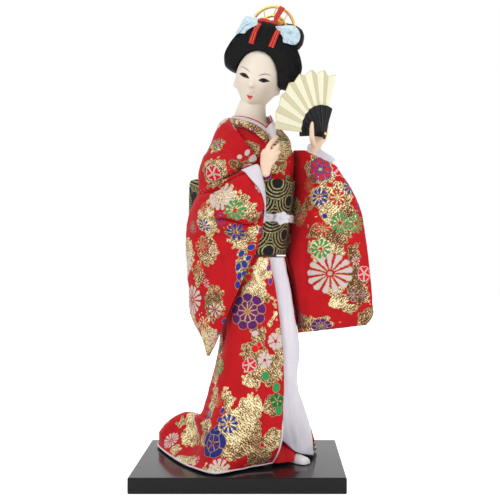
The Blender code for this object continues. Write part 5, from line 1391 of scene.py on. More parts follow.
def skull_radius(d):
    """Distance from the skull's centre to the face or scalp along unit directions."""
    x, y, z = d[..., 0], d[..., 1], d[..., 2]
    low = np.maximum(-z, 0.0)
    rx = 14.9 * (1.0 - 0.31 * low ** 2.2)
    ry = 15.6 * (1.0 - 0.16 * low ** 2.0)
    r = 1.0 / np.sqrt((x / rx) ** 2 + (y / ry) ** 2 + (z / 21.6) ** 2)
    for centre, size, amount in (
            ((0.0, -0.93, -0.42), 0.13, 1.9), ((0.0, -0.98, -0.22), 0.12, 0.9), ((0.0, -0.80, -0.64), 0.14, 0.7),
            ((0.0, -0.60, -0.88), 0.20, 1.2), ((0.42, -0.95, -0.10), 0.20, -0.8), ((-0.42, -0.95, -0.10), 0.20, -0.8),
            ((0.52, -0.80, -0.42), 0.26, 0.5), ((-0.52, -0.80, -0.42), 0.26, 0.5), ((0.92, 0.0, -0.40), 0.17, 2.2),
            ((-0.92, 0.0, -0.40), 0.17, 2.2)):
        r = r + amount * swelling(d, centre, size)
    return r


def face_detail(d):
    """Fine modelling of nose and mouth over the plain head."""
    out = np.zeros(d.shape[:-1])
    for centre, size, amount in (
            ((0.0, -0.90, -0.435), 0.050, 0.55), ((0.075, -0.90, -0.445), 0.040, 0.34),
            ((-0.075, -0.90, -0.445), 0.040, 0.34),
            ((0.035, -0.88, -0.485), 0.022, -0.30), ((-0.035, -0.88, -0.485), 0.022, -0.30),
            ((0.0, -0.99, -0.10), 0.060, 0.18), ((0.0, -0.84, -0.585), 0.028, -0.12),
            ((0.045, -0.80, -0.635), 0.045, 0.16), ((-0.045, -0.80, -0.635), 0.045, 0.16),
            ((0.0, -0.775, -0.69), 0.055, 0.30), ((0.0, -0.71, -0.76), 0.06, -0.22),
            ((0.13, -0.79, -0.65), 0.035, -0.16), ((-0.13, -0.79, -0.65), 0.035, -0.16)):
        out += amount * swelling(d, centre, size)
    return out


def pixel_on_head(px, py):
    """Direction from the skull's centre to where a line of sight meets the head."""
    origin, ray = sight(px, py)
    o = head_local(origin)
    r = head_local(origin + ray) - o
    t = np.linspace(500, 560, 1201)
    points = o + r * t[:, None] - SKULL
    size = np.linalg.norm(points, axis=1)
    d = points / size[:, None]
    inside = np.nonzero(size < skull_radius(d))[0]
    return d[inside[0]] if len(inside) else d[size.argmin()]


def to_face(pixels):
    """Pixel places as points of the face, in the head's own x and z, millimetres."""
    d = np.array([pixel_on_head(px, py) for px, py in pixels])
    q = SKULL + d * skull_radius(d)[:, None]
    return q[:, [0, 2]]


def polygon_distance(x, z, points):
    """Signed distance of points to a closed outline, above 0 inside."""
    best = np.full(x.shape, 1e9)
    inside = np.zeros(x.shape, bool)
    for i in range(len(points)):
        ax, az = points[i - 1]
        bx, bz = points[i]
        dx, dz = bx - ax, bz - az
        t = np.clip(((x - ax) * dx + (z - az) * dz) / max(dx * dx + dz * dz, 1e-9), 0, 1)
        best = np.minimum(best, np.hypot(x - ax - t * dx, z - az - t * dz))
        cross = (az > z) != (bz > z)
        where = ax + (z - az) / (dz if abs(dz) > 1e-9 else 1e-9) * dx
        inside ^= cross & (x < where)
    return np.where(inside, best, -best)


def stroke_distance(x, z, points, widths):
    """Signed distance to a tapered brush stroke, above 0 inside."""
    line = smooth_line(points, 40)
    width = np.interp(np.linspace(0, 1, 40), np.linspace(0, 1, len(widths)), widths)
    best = np.full(x.shape, -1e9)
    for i in range(39):
        ax, az = line[i]
        dx, dz = line[i + 1] - line[i]
        t = np.clip(((x - ax) * dx + (z - az) * dz) / (dx * dx + dz * dz), 0, 1)
        w = width[i] + (width[i + 1] - width[i]) * t
        best = np.maximum(best, w - np.hypot(x - ax - t * dx, z - az - t * dz))
    return best


# Skull grid, denser over the eyes and mouth.
rows, columns = 235, 300
t = np.linspace(0, 1, rows)
lat = -math.pi / 2 + 0.05 + (math.pi - 0.10) * np.interp(t, [0, 0.10, 0.78, 1.0], [0, 0.16, 0.60, 1.0])
a = np.linspace(-1, 1, columns)
lon = math.pi * np.sign(a) * np.interp(np.abs(a), [0, 0.62, 1.0], [0, 0.27, 1.0])
lat, lon = np.meshgrid(lat, lon, indexing="ij")
d = np.stack([np.cos(lat) * np.sin(lon), -np.cos(lat) * np.cos(lon), np.sin(lat)], -1)
skin = SKULL + d * (skull_radius(d) + face_detail(d))[..., None]

# Eyes, with lids that stand a little above the painted eye.
left_eye = smooth_line(to_face([(240.0, 74.2), (241.4, 73.5), (243.6, 73.7), (246.2, 74.9), (249.2, 78.1),
                                (247.0, 78.1),
                                (244.2, 77.2), (241.8, 75.8)]), 40, True)
right_eye = smooth_line(to_face([(258.9, 80.4), (260.6, 79.5), (262.9, 79.0), (265.8, 79.6), (269.4, 81.5),
                                 (266.8, 82.1),
                                 (263.8, 82.6), (261.2, 81.9)]), 40, True)
fx, fz = skin[..., 0], skin[..., 2]
front = d[..., 1] < -0.3
eye = np.where(front, np.maximum(polygon_distance(fx, fz, left_eye), polygon_distance(fx, fz, right_eye)), -9.0)
lid = 0.22 * np.exp(-((eye + 0.35) / 0.45) ** 2) - 0.30 * np.clip(eye / 0.5, 0, 1)
skin = skin + d * np.where(front, lid, 0.0)[..., None]

b = Builder()
closed_tube(b, head_world(skin))
skull = b.piece("skull_blank", None)
neck_rings = np.array([
    ellipse((9.6, -0.6, 204.0), 9.0, 10.0, 16), ellipse((9.4, -0.6, 209.0), 12.6, 12.8, 16, 1.0),
    ellipse((8.2, 0.4, 213.8), 12.0, 11.8, 16, 2.0), ellipse((6.4, 1.8, 218.2), 11.0, 10.2, 16, 1.5),
    ellipse((6.2, 2.8, 223.0), 10.3, 9.2, 16, 0.5), ellipse((7.2, 3.6, 229.0), 9.2, 8.4, 16),
    ellipse((9.6, 4.0, 236.0), 8.4, 8.2, 16)])
neck_grid = net_grid(neck_rings, 80, 97)
b = Builder()
closed_tube(b, neck_grid)
neck = b.piece("neck_blank", None)


def fuse(main, other, kind="UNION"):
    """Boolean of two pieces, done at once."""
    mod = main.modifiers.new("fuse", "BOOLEAN")
    mod.operation = kind
    mod.solver = "EXACT"
    mod.object = other
    apply_all(main)
    pieces.pop(other.name, None)
    bpy.data.objects.remove(other, do_unlink=True)


def apply_all(obj):
    """Replaces an object's mesh by the result of its modifiers."""
    graph = bpy.context.evaluated_depsgraph_get()
    made = bpy.data.meshes.new_from_object(obj.evaluated_get(graph))
    old = obj.data
    obj.modifiers.clear()
    obj.data = made
    bpy.data.meshes.remove(old)


fuse(skull, neck)
head = skull
head.name = "head_fine"
pieces["head_fine"] = head
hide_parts("head_and_neck")

# Paint the face by distances to drawn lines.
mesh = head.data
count = len(mesh.vertices)
co = np.empty(count * 3)
mesh.vertices.foreach_get("co", co)
co = co.reshape(-1, 3) * 1000.0 - [0, 0, BASE_HEIGHT]
local_co = head_local(co)
dirs = local_co - SKULL
dirs /= np.linalg.norm(dirs, axis=1, keepdims=True)
fx, fz = local_co[:, 0], local_co[:, 2]
front = (dirs[:, 1] < -0.3) & (local_co[:, 2] > -24)

brows = [
    (to_face([(239.9, 67.2), (242.0, 66.8), (244.6, 67.8), (247.4, 69.7), (249.7, 72.2)]),
     [0.05, 0.20, 0.34, 0.28, 0.08]),
    (to_face([(258.6, 76.0), (261.2, 74.9), (264.6, 74.2), (268.0, 74.5), (271.6, 76.0)]),
     [0.10, 0.30, 0.36, 0.28, 0.05])]
lids = [
    (to_face([(239.3, 74.0), (241.2, 73.2), (243.7, 73.3), (246.4, 74.4), (249.3, 78.2)]),
     [0.10, 0.20, 0.26, 0.20, 0.10]),
    (to_face([(258.5, 80.6), (260.5, 79.3), (262.9, 78.6), (266.0, 79.2), (270.0, 81.6)]),
     [0.10, 0.20, 0.26, 0.20, 0.10]),
]
lips_upper = smooth_line(to_face([(246.7, 95.1), (248.2, 95.0), (249.6, 95.8), (251.0, 95.6), (252.9, 97.0),
                                  (251.0, 97.0),
                                  (249.4, 96.8), (248.0, 96.2)]), 48, True)
lips_lower = smooth_line(to_face([(247.3, 96.2), (249.4, 96.9), (251.9, 97.2), (251.4, 98.6), (250.0, 99.2),
                                  (248.4, 98.4)]),
                         36, True)
nostrils = to_face([(250.8, 91.6), (253.6, 92.1)])
pupils = to_face([(244.6, 75.6), (264.0, 80.8)])
values = {
    "eye": np.maximum(polygon_distance(fx, fz, left_eye), polygon_distance(fx, fz, right_eye)),
    "lash": np.maximum(*[stroke_distance(fx, fz, points, widths) for points, widths in lids]),
    "brow": np.maximum(*[stroke_distance(fx, fz, points, widths) for points, widths in brows]),
    "lip_up": polygon_distance(fx, fz, lips_upper),
    "lip_low": polygon_distance(fx, fz, lips_lower),
    "pupil": np.maximum(*[0.95 - np.hypot((fx - c[0]) * 0.9, fz - c[1]) for c in pupils]),
    "nostril": np.maximum(*[0.42 - np.hypot((fx - c[0]) * 0.8, (fz - c[1]) * 1.5) for c in nostrils]),
}
for key, value in values.items():
    value = np.where(front, np.clip(value, -3, 3), -3.0)
    mesh.attributes.new(key, "FLOAT", "POINT").data.foreach_set("value", value.astype(np.float32))
blush = (swelling(dirs, (0.50, -0.80, -0.40), 0.30) + swelling(dirs, (-0.50, -0.80, -0.40), 0.30)
         + 0.8 * swelling(dirs, (0.97, 0.0, -0.40), 0.22) + 0.8 * swelling(dirs, (-0.97, 0.0, -0.40), 0.22))
mesh.attributes.new("blush", "FLOAT", "POINT").data.foreach_set("value", blush.astype(np.float32))
mesh.polygons.foreach_set("use_smooth", [True] * len(mesh.polygons))

skin_paint = Paint("face_cream", (0.88, 0.80, 0.68), 0.42, Specular_IOR_Level=0.16, Subsurface_Weight=0.0)
s = skin_paint
mm = s.place()
tone = s.noise(mm, 0.10, 2.0)
color = s.mix(tone, (0.86, 0.755, 0.625), (0.915, 0.83, 0.715))
color = s.mix(s.value("blush") * 0.35, color, (0.83, 0.66, 0.57))
color = s.mix(s.value("brow").step(-0.14, 0.12) * (s.noise(mm, 3.0, 2.0) * 0.5 + 0.5), color, (0.14, 0.14, 0.16))
eye = s.value("eye")
color = s.mix(eye.step(-0.12, -0.02), color, (0.10, 0.07, 0.065))
inner_eye = s.mix(s.value("pupil").step(-0.10, 0.08), (0.055, 0.032, 0.028), (0.006, 0.005, 0.006))
color = s.mix(eye.step(-0.02, 0.10), color, inner_eye)
color = s.mix(s.value("lash").step(-0.08, 0.04), color, (0.006, 0.006, 0.008))
color = s.mix(s.value("lip_low").step(-0.16, 0.06), color,
              s.mix(s.value("lip_low").step(0.1, 0.6), (0.74, 0.045, 0.045),
                                                                (0.86, 0.16, 0.14)))
color = s.mix(s.value("lip_up").step(-0.16, 0.06), color, (0.60, 0.022, 0.026))
color = s.mix(s.value("nostril").step(-0.25, 0.2) * 0.55, color, (0.55, 0.33, 0.25))
s.wire(color, "Base Color")
gloss = s.value("lip_low").step(-0.1, 0.1).op("MAXIMUM", eye.step(-0.05, 0.05))
s.wire(0.46 - gloss * 0.22 + s.noise(mm, 0.8, 3.0) * 0.06, "Roughness")
s.bump(s.noise(mm, 1.2, 4.0), 0.05, 0.35)
mesh.materials.clear()
mesh.materials.append(s.mat)

# Hair: strands run from the hairline to the crown.
HAIRLINE = [
    (-0.6, -11.6, 20.7), (7.8, -9.8, 16.8), (12.4, -7.2, 9.6), (14.7, -3.6, 0.2), (15.0, 2.5, -0.8), (13.0, 9.0, 2.0),
    (6.8, 13.6, -1.0), (0.0, 15.2, -3.0), (-6.8, 13.6, -1.0), (-13.2, 9.0, 3.4), (-15.2, 3.0, 3.6),
    (-14.8, -2.6, 4.6),
    (-13.6, -6.4, 9.6), (-9.6, -9.4, 16.8)]
CROWN = np.array([0.0, 9.5, 26.0])
HAIR_DEPTH = [
    (0.9, 4.6, 9.8, 13.6, 14.0, 12.0), (0.9, 5.6, 10.6, 14.0, 13.6, 12.0), (0.9, 7.2, 11.2, 13.6, 13.2, 12.0),
    (0.9, 7.6, 9.8, 12.4, 12.8, 12.0), (0.9, 7.0, 9.2, 12.2, 12.4, 11.5), (0.9, 4.6, 7.6, 9.2, 9.8, 11.0),
    (0.9, 4.0, 6.8, 8.2, 9.2, 11.0), (0.9, 4.0, 6.8, 8.2, 9.0, 11.0), (0.9, 4.2, 7.2, 8.4, 9.2, 11.0),
    (0.9, 5.8, 8.6, 9.4, 9.8, 11.0), (0.9, 7.6, 10.6, 11.8, 11.6, 11.0), (0.9, 8.0, 11.0, 12.2, 12.2, 11.5),
    (0.9, 7.2, 11.0, 13.0, 12.8, 12.0), (0.9, 5.6, 10.6, 14.0, 13.6, 12.0)]
HAIR_STOPS = (0.0, 0.07, 0.2, 0.42, 0.7, 1.0)


def hair_points(u, v, lift=0.0):
    """Points of the wig: u round the hairline in fourteenths, v from the hairline to the crown."""
    u, v = np.broadcast_arrays(np.asarray(u, float), np.asarray(v, float))
    line = curve(HAIRLINE, u, True) - SKULL
    depth = curve(HAIR_DEPTH, u, True)
    start = line / np.linalg.norm(line, axis=-1, keepdims=True)
    pole = (CROWN - SKULL) / np.linalg.norm(CROWN - SKULL)
    angle = np.arccos(np.clip(start @ pole, -1, 1))[..., None]
    w = v[..., None]
    d = (np.sin((1 - w) * angle) * start + np.sin(w * angle) * pole) / np.sin(angle)
    spots = np.array(HAIR_STOPS)
    k = np.clip(np.searchsorted(spots, v, side="right") - 1, 0, 4)
    f = (v - spots[k]) / (spots[k + 1] - spots[k])
    low = np.take_along_axis(depth, k[..., None], -1)[..., 0]
    high = np.take_along_axis(depth, k[..., None] + 1, -1)[..., 0]
    # A rounded roll instead of straight steps between the stops.
    f = np.where(k == 0, np.sin(f * math.pi / 2) ** 0.8, f)
    return head_world(SKULL + d * (skull_radius(d) + 1.1 + low + (high - low) * f + lift)[..., None])


def groove(u, v):
    """Combed strands over the wig, in millimetres."""
    rng = np.random.default_rng(7)
    out = np.zeros(np.broadcast(u, v).shape)
    for k in range(26):
        f = rng.uniform(9, 70)
        out += np.sin(u * f / 14 * 2 * math.pi * 3 + rng.uniform(0, 6.28)
                      + v * rng.normal(0, 2.2)) * (3.0 / (3 + f / 9))
    return out / 12.0


u = np.linspace(0, 14, 561)[None, :]
v = np.concatenate([np.linspace(0, 0.07, 12), np.linspace(0.079, 0.97, 88)])[:, None]
depth = 0.34 * np.clip(v / 0.05, 0.15, 1) * groove(u, v)
outer = hair_points(u, v, depth)
inner_v = np.array([0.95, 0.7, 0.4, 0.15, 0.0])[:, None]
line_in = []
for w in inner_v[:, 0]:
    line = curve(HAIRLINE, u[0], True) - SKULL
    start = line / np.linalg.norm(line, axis=-1, keepdims=True)
    pole = (CROWN - SKULL) / np.linalg.norm(CROWN - SKULL)
    angle = np.arccos(np.clip(start @ pole, -1, 1))[..., None]
    dd = (np.sin((1 - w) * angle) * start + np.sin(w * angle) * pole) / np.sin(angle)
    line_in.append(head_world(SKULL + dd * (skull_radius(dd) + 0.9 + 1.5 * min(1.0, w / 0.2))[..., None]))
full = np.concatenate([np.array(line_in), outer])
across = np.linspace(0, 60, 561)[None, :] * np.ones((len(full), 1))
down = np.concatenate([np.zeros(5), v[:, 0] * 40])[:, None] * np.ones((1, 561))
hair_uv = np.stack([across, down], -1)


def hair_paint():
    p = Paint("hair_black", (0.012, 0.012, 0.013), 0.55, Specular_IOR_Level=0.09, Sheen_Weight=0.01,
              Sheen_Roughness=0.35)
    uv = p.uv()
    strand = p.noise(p.scaled(uv, (5.0, 0.25, 1.0)), 1.0, 4.0, 0.7)
    lock = p.noise(p.scaled(uv, (1.1, 0.10, 1.0)), 1.0, 3.0, 0.6)
    # Pale grey flecks along the strands: painted highlights of glossy hair.
    painted_strand_glint = p.noise(p.scaled(uv, (7.0, 1.2, 1.0)), 1.0, 3.0, 0.8).step(0.64, 0.74)
    color = p.mix(strand * 0.6 + lock * 0.4, (0.002, 0.002, 0.0025), (0.015, 0.015, 0.016))
    p.wire(p.mix(painted_strand_glint * 0.28, color, (0.14, 0.14, 0.145)), "Base Color")
    p.wire(0.42 + strand * 0.25, "Roughness")
    p.bump(strand + lock * 0.8, 0.30, 0.9)
    return p.mat


hair_mat = hair_paint()
b = Builder()
closed_tube(b, full, hair_uv)
hair = b.piece("hair_combed", hair_mat, ["hair_wig"])

# Loose strands over the wig, and short fine hairs at the forehead.
rng = np.random.default_rng(12)
b = Builder()
for k in range(760):
    u0 = rng.uniform(0, 14)
    v0 = rng.uniform(0.01, 0.30)
    v1 = v0 + rng.uniform(0.25, 0.62)
    vv = np.linspace(v0, min(v1, 0.96), 12)
    drift = np.cumsum(rng.normal(0, 0.006, 12))
    uu = u0 + drift + rng.normal(0, 0.04) * np.linspace(0, 1, 12)
    lift = 0.34 * groove(uu, vv) + 0.05 + rng.uniform(0, 0.10)
    path = hair_points(uu, vv, lift)
    taper = np.sin(np.linspace(0.12, math.pi - 0.12, 12)) ** 0.4
    b.grid(tube_grid(path, rng.uniform(0.05, 0.10) * taper, 3, 1.0, (0.3, 0.5, 1.0)), None, True)
for k in range(60):
    u0 = rng.choice([rng.uniform(-2.2, 2.2), rng.uniform(-0.5, 0.6)])
    start = hair_points(u0, 0.0, -0.4)
    line = head_local(hair_points(u0, 0.0, -1.4))
    inward = SKULL + np.array([rng.normal(0, 1.5), -12.0, -4.0]) - line
    path = []
    length = rng.uniform(0.8, 2.6)
    for t in np.linspace(0, 1, 7):
        q = line + inward / np.linalg.norm(inward) * length * t
        dq = (q - SKULL) / np.linalg.norm(q - SKULL)
        path.append(SKULL + dq * (skull_radius(dq) + 0.12 + 0.25 * (1 - t)))
    b.grid(tube_grid(head_world(path), 0.035 * np.linspace(1, 0.3, 7), 3, 1.0, (0.3, 1.0, 0.2)), None, True)
b.piece("hair_loose_strands", hair_mat, tidy=False)

# Bun behind the dome.
stations = smooth_line([(-16.5, 3.0, 3.6), (-14.0, 6.5, 7.0), (-8.0, 9.0, 9.2), (0.0, 8.6, 9.0), (8.0, 9.0, 9.2),
                        (14.0, 6.5, 7.0), (16.5, 3.0, 3.6)], 90)
angle = np.linspace(0, 2 * math.pi, 141)
rows = []
for x, ry, rz in stations:
    comb_lines = 1.0 + 0.012 * np.sin(angle * 1.0 + x * 3.1) + 0.010 * np.sin(x * 7.3 + 0.6 * np.sin(angle))
    rows.append(np.stack([np.full(141, 2.6 + x), 21.0 + ry * np.cos(angle) * comb_lines,
                          36.4 + rz * np.sin(angle) * comb_lines], axis=1))
bun_grid = head_world(np.array(rows))
bun_uv = np.stack([np.linspace(0, 60, 90)[:, None] * np.ones((1, 141)),
                   np.linspace(0, 30, 141)[None, :] * np.ones((90, 1))], -1)
b = Builder()
closed_tube(b, bun_grid, bun_uv)
b.piece("hair_bun_coil", hair_mat, ["hair_bun"])


# Hair ornaments.
gold = Paint("gold_comb", (0.72, 0.42, 0.11), 0.34, 1.0)
mm = gold.place()
wear = gold.noise(mm, 0.6, 3.0)
gold.wire(gold.mix(wear, (0.62, 0.34, 0.08), (0.86, 0.56, 0.18)), "Base Color")
gold.wire(0.26 + gold.noise(mm, 1.7, 3.0) * 0.22, "Roughness")
gold.bump(gold.noise(mm, 1.1, 3.0), 0.12, 0.5)


def comb_point(r, a, y):
    return head_world(np.stack(np.broadcast_arrays(0.7 + r * np.cos(a), 6.4 + y - 0.16 * r * np.sin(a),
                                                   36.6 + r * np.sin(a)), -1))


def comb_arc(b, r, a0, a1, half_wide, half_thick, count=90):
    """Flat bar with rounded edges along an arc of the comb."""
    a = np.linspace(math.radians(a0), math.radians(a1), count)[:, None]
    t = np.linspace(0, 2 * math.pi, 17)[None, :]
    c, s = np.cos(t), np.sin(t)
    q = (np.abs(c) ** 3 + np.abs(s) ** 3) ** (-1 / 3)
    closed_tube(b, comb_point(r + half_wide * q * c, a, 0.65 + half_thick * q * s))


def comb_bar(b, p0, p1, half_wide, half_thick):
    t = np.linspace(0, 1, 8)[:, None]
    r = p0[0] + (p1[0] - p0[0]) * t
    a = np.radians(p0[1] + (p1[1] - p0[1]) * t)
    turn = np.linspace(0, 2 * math.pi, 9)[None, :]
    closed_tube(b, comb_point(r + 0 * turn, a + half_wide / r * np.cos(turn), 0.65 + half_thick * np.sin(turn)))


b = Builder()
comb_arc(b, 14.7, 0, 180, 0.95, 0.62, 140)
comb_arc(b, 9.0, 0, 180, 0.9, 0.55, 90)
comb_arc(b, 4.6, 0, 180, 1.5, 0.50, 60)
for a0, a1 in ((0, 10), (38, 84), (122, 180)):
    comb_arc(b, 7.0, a0, a1, 1.7, 0.48, 30)
for a0, a1, half in ((96, 90, 0.55), (134, 124, 0.42), (50, 56, 0.42), (14, 8, 0.42), (168, 174, 0.42)):
    comb_bar(b, (9.4, a0), (14.2, a1), half, 0.45)
b.piece("comb_gilt", gold.mat, ["comb_gold"])

# Red ribbons with thin gold lines and a crimped surface.
ribbon = Paint("ribbon_red", RED, 0.45, Sheen_Weight=0.02, Specular_IOR_Level=0.10)
x, y, _ = ribbon.split(ribbon.uv())
mm = ribbon.place()
line = (x.op("ABSOLUTE") - 0.42).op("ABSOLUTE")
mark = (1.0 - line.step(0.055, 0.12)) * ribbon.noise(mm, 2.2, 2.0).step(0.30, 0.45)
speck = ribbon.noise(mm, 1.5, 2.0, 0.7).step(0.62, 0.70) * 0.6
mark = mark.op("MAXIMUM", speck * (1.0 - line.step(0.25, 0.4)))
tone = ribbon.noise(mm, 0.7, 3.0)
ribbon.wire(ribbon.mix(mark * 0.5, ribbon.mix(tone, (0.36, 0.004, 0.012), (0.68, 0.02, 0.03)), (0.66, 0.46, 0.18)),
            "Base Color")
ribbon.wire(mark * 0.2, "Metallic")
ribbon.bump(ribbon.threads(0.5, math.pi / 2) * 0.5 + tone + mark * 0.4, 0.16, 0.7)


def ribbon_strip(name, nodes, path, width, thick, sag=0.25, twist=None, rows=60, columns=15):
    path = smooth_line(path, rows)
    tangent = np.gradient(path, axis=0)
    side = np.cross(tangent, [0.0, -1.0, 0.25])
    side /= np.linalg.norm(side, axis=1, keepdims=True)
    up = np.cross(side, tangent)
    up /= np.linalg.norm(up, axis=1, keepdims=True)
    if twist is not None:
        angle = np.interp(np.linspace(0, 1, rows), np.linspace(0, 1, len(twist)), twist)[:, None]
        side, up = side * np.cos(angle) + up * np.sin(angle), up * np.cos(angle) - side * np.sin(angle)
    w = np.broadcast_to(np.interp(np.linspace(0, 1, rows), np.linspace(0, 1, len(np.atleast_1d(width))),
                                  np.atleast_1d(width)),
                        (rows,))
    across = np.linspace(-1, 1, columns)
    front = -up if up[:, 1].mean() > 0 else up
    p = path[:, None] + side[:, None] * (across[None, :] * w[:, None] / 2)[..., None]
    wave = sag * (1 - across ** 2)[None, :] + 0.10 * np.sin(np.linspace(0, 9, rows))[:, None]
    p = p + front[:, None] * wave[..., None]
    n = np.broadcast_to(front[:, None], p.shape)
    uv = np.stack([np.broadcast_to(across[None, :], p.shape[:2]),
                   np.broadcast_to(np.linspace(0, 12, rows)[:, None], p.shape[:2])], -1)
    b = Builder()
    top = b.grid(p, uv)
    low = b.grid(p - n * thick, uv, flip=True)
    last = (rows - 1) * columns
    b.strip([top + i for i in range(columns)], [low + i for i in range(columns)])
    b.strip([low + last + i for i in range(columns)], [top + last + i for i in range(columns)])
    b.strip([low + r * columns for r in range(rows)], [top + r * columns for r in range(rows)])
    b.strip([top + r * columns + columns - 1 for r in range(rows)],
            [low + r * columns + columns - 1 for r in range(rows)])
    return b.piece(name, ribbon.mat, nodes)


hair_tree = tree_of(hair)


def on_hair(x, z, lift):
    hit = hair_tree.ray_cast(Vector(metres((x, -90.0, z))), Vector((0.0, 1.0, 0.0)))
    y = 4.0 if hit[0] is None else hit[0].y * 1000.0
    return (x, y - lift, z)


ribbon_strip("ribbon_tail_left_silk", ["ribbon_tail_left"],
             [on_hair(x, z, 0.9) for x, z in ((12.6, 280.0), (9.9, 274.6), (8.2, 270.0), (7.0, 266.2))],
             (2.4, 3.4, 3.6), 0.4)
ribbon_strip("ribbon_tail_right_silk", ["ribbon_tail_right"],
             [on_hair(x, z, 0.9) for x, z in ((24.8, 275.4), (23.0, 271.0), (21.2, 266.6), (19.8, 263.2))],
             (3.0, 3.6, 3.9), 0.4)
ribbon_strip("ribbon_tail_up_silk", ["ribbon_tail_up"],
             [(22.2, -3.6, 281.4), (23.6, -4.4, 285.2), (25.6, -4.6, 288.6), (27.2, -4.4, 291.4)],
             (2.2, 3.2, 3.6, 3.6), 0.4)
ribbon_strip("ribbon_band_silk", ["ribbon_band"],
             [(11.2, -2.4, 280.8), (12.6, -3.6, 283.0), (15.4, -4.6, 282.9), (19.0, -5.0, 282.0),
              (22.6, -4.6, 280.8), (26.2, -2.6, 277.2)],
             (3.0, 4.2, 2.4, 3.4, 2.6, 3.2), 0.5, 0.5, (0.0, 0.5, -0.3, 0.6, -0.2, 0.3), 90)

# Crumpled cloth flowers.
blue = Paint("cloth_blue", (0.62, 0.80, 0.88), 0.85, Sheen_Weight=0.35, Specular_IOR_Level=0.2)
mm = blue.place()
crumple = blue.noise(mm, 0.55, 4.0, 0.6)
grain = blue.cells(mm, 1.5)
color = blue.mix(crumple, (0.50, 0.72, 0.83), (0.76, 0.88, 0.93))
blue.wire(blue.shade(color, grain * 0.12 + 0.92), "Base Color")
blue.bump(crumple + grain * 0.5 + blue.noise(mm, 2.4, 3.0) * 0.5, 0.35, 0.8)


def rosette(name, node, outline, centre_px, seed):
    """Gathered cloth filling a pixel outline on the hair, puffed to the front, with a dimpled middle."""
    outline = smooth_line(outline, 128, True)
    rows = 34
    cx, cy = centre_px
    # The plane of the hair under it.
    spots = []
    for px, py in np.concatenate([outline[::8], (outline[::10] + centre_px) / 2]):
        origin, ray = sight(px, py)
        hit = hair_tree.ray_cast(Vector(metres(origin)), Vector(ray))
        if hit[0] is not None:
            spots.append((1.0, px - cx, py - cy, hit[0].y * 1000.0))
    spots = np.array(spots)
    fit = np.linalg.lstsq(spots[:, :3], spots[:, 3], rcond=None)[0]
    fit[0] += min(0.0, (spots[:, 3] - spots[:, :3] @ fit).min()) * 0.8 - 0.6
    rng = np.random.default_rng(seed)
    phases = rng.uniform(0, 6.28, 6)
    angle = np.linspace(0, 2 * math.pi, 128, endpoint=False)
    r = np.linspace(0.02, 1.0, rows)[:, None]
    px = cx + (outline[None, :, 0] - cx) * r
    py = cy + (outline[None, :, 1] - cy) * r
    puff = 2.4 * (1 - r ** 3) - 1.9 * np.exp(-(r / 0.24) ** 2)
    pleat = 0.42 * r ** 0.7 * np.sin(angle * 17 + phases[0] + 2.2 * np.sin(angle * 3 + phases[1]))
    pleat = pleat + 0.26 * np.sin(angle * 31 + phases[2]) * r + 0.45 * np.sin(r * 9 + angle * 4 + phases[3])
    base = fit[0] + fit[1] * (px - cx) + fit[2] * (py - cy)

    def lifted(y):
        scale = (y - CAMERA[1]) / 838.0
        return np.stack([CAMERA[0] + (px - 276.0) * scale, y, CAMERA[2] - (py - 250.0) * scale], -1)

    front = lifted(base - puff - pleat)
    front = np.concatenate([front, front[:, :1]], axis=1)
    behind = front[::-1].copy()
    behind[..., 1] += 0.5 + 1.2 * np.sin(np.linspace(0, 1, rows)[:, None] * math.pi / 2)
    b = Builder()
    closed_tube(b, np.concatenate([front, behind]))
    return b.piece(name, blue.mat, [node])


rosette("flower_left_crepe", "flower_blue_left",
                   [(245.5, 16.5), (250, 16.2), (256.5, 17.8), (257.6, 21.5), (257, 24.5), (252, 27.6), (247.4, 30.4),
                    (244.5, 33.2), (239.5, 33.2), (235.6, 34.8), (236.8, 30.6), (239, 27), (240.6, 23.6),
                    (242.6, 20)],
                   (247.6, 24.4), 3)
rosette("flower_right_crepe", "flower_blue_right",
                   [(275.5, 26.6), (280, 26.0), (286, 25.4), (292, 25.5), (297.0, 28.0), (299.8, 32.6), (300.2, 37.0),
                    (299, 41), (296, 44.2), (292.0, 44.8), (287.6, 43.4), (283.2, 42.0), (282.6, 37.4),
                    (279.4, 32.0)],
                   (289.8, 33.0), 8)


# Hands: fingers and palm melted into one form.
def melt(name, tubes, node, mat, voxel=0.34):
    b = Builder()
    for path, radii, flat, hint in tubes:
        count = 26
        path = smooth_line(path, count)
        radii = np.interp(np.linspace(0, 1, count), np.linspace(0, 1, len(radii)), radii)
        ends = np.ones(count)
        ends[[0, -1]] = 0.35
        ends[[1, -2]] = 0.78
        closed_tube(b, tube_grid(path, radii * ends, 20, flat, hint))
    obj = b.piece(name, mat, [node])
    mod = obj.modifiers.new("melt", "REMESH")
    mod.mode = "VOXEL"
    mod.voxel_size = voxel * 0.001
    mod.use_smooth_shade = True
    soft = obj.modifiers.new("soft", "SMOOTH")
    soft.factor = 0.5
    soft.iterations = 5
    apply_all(obj)
    return obj


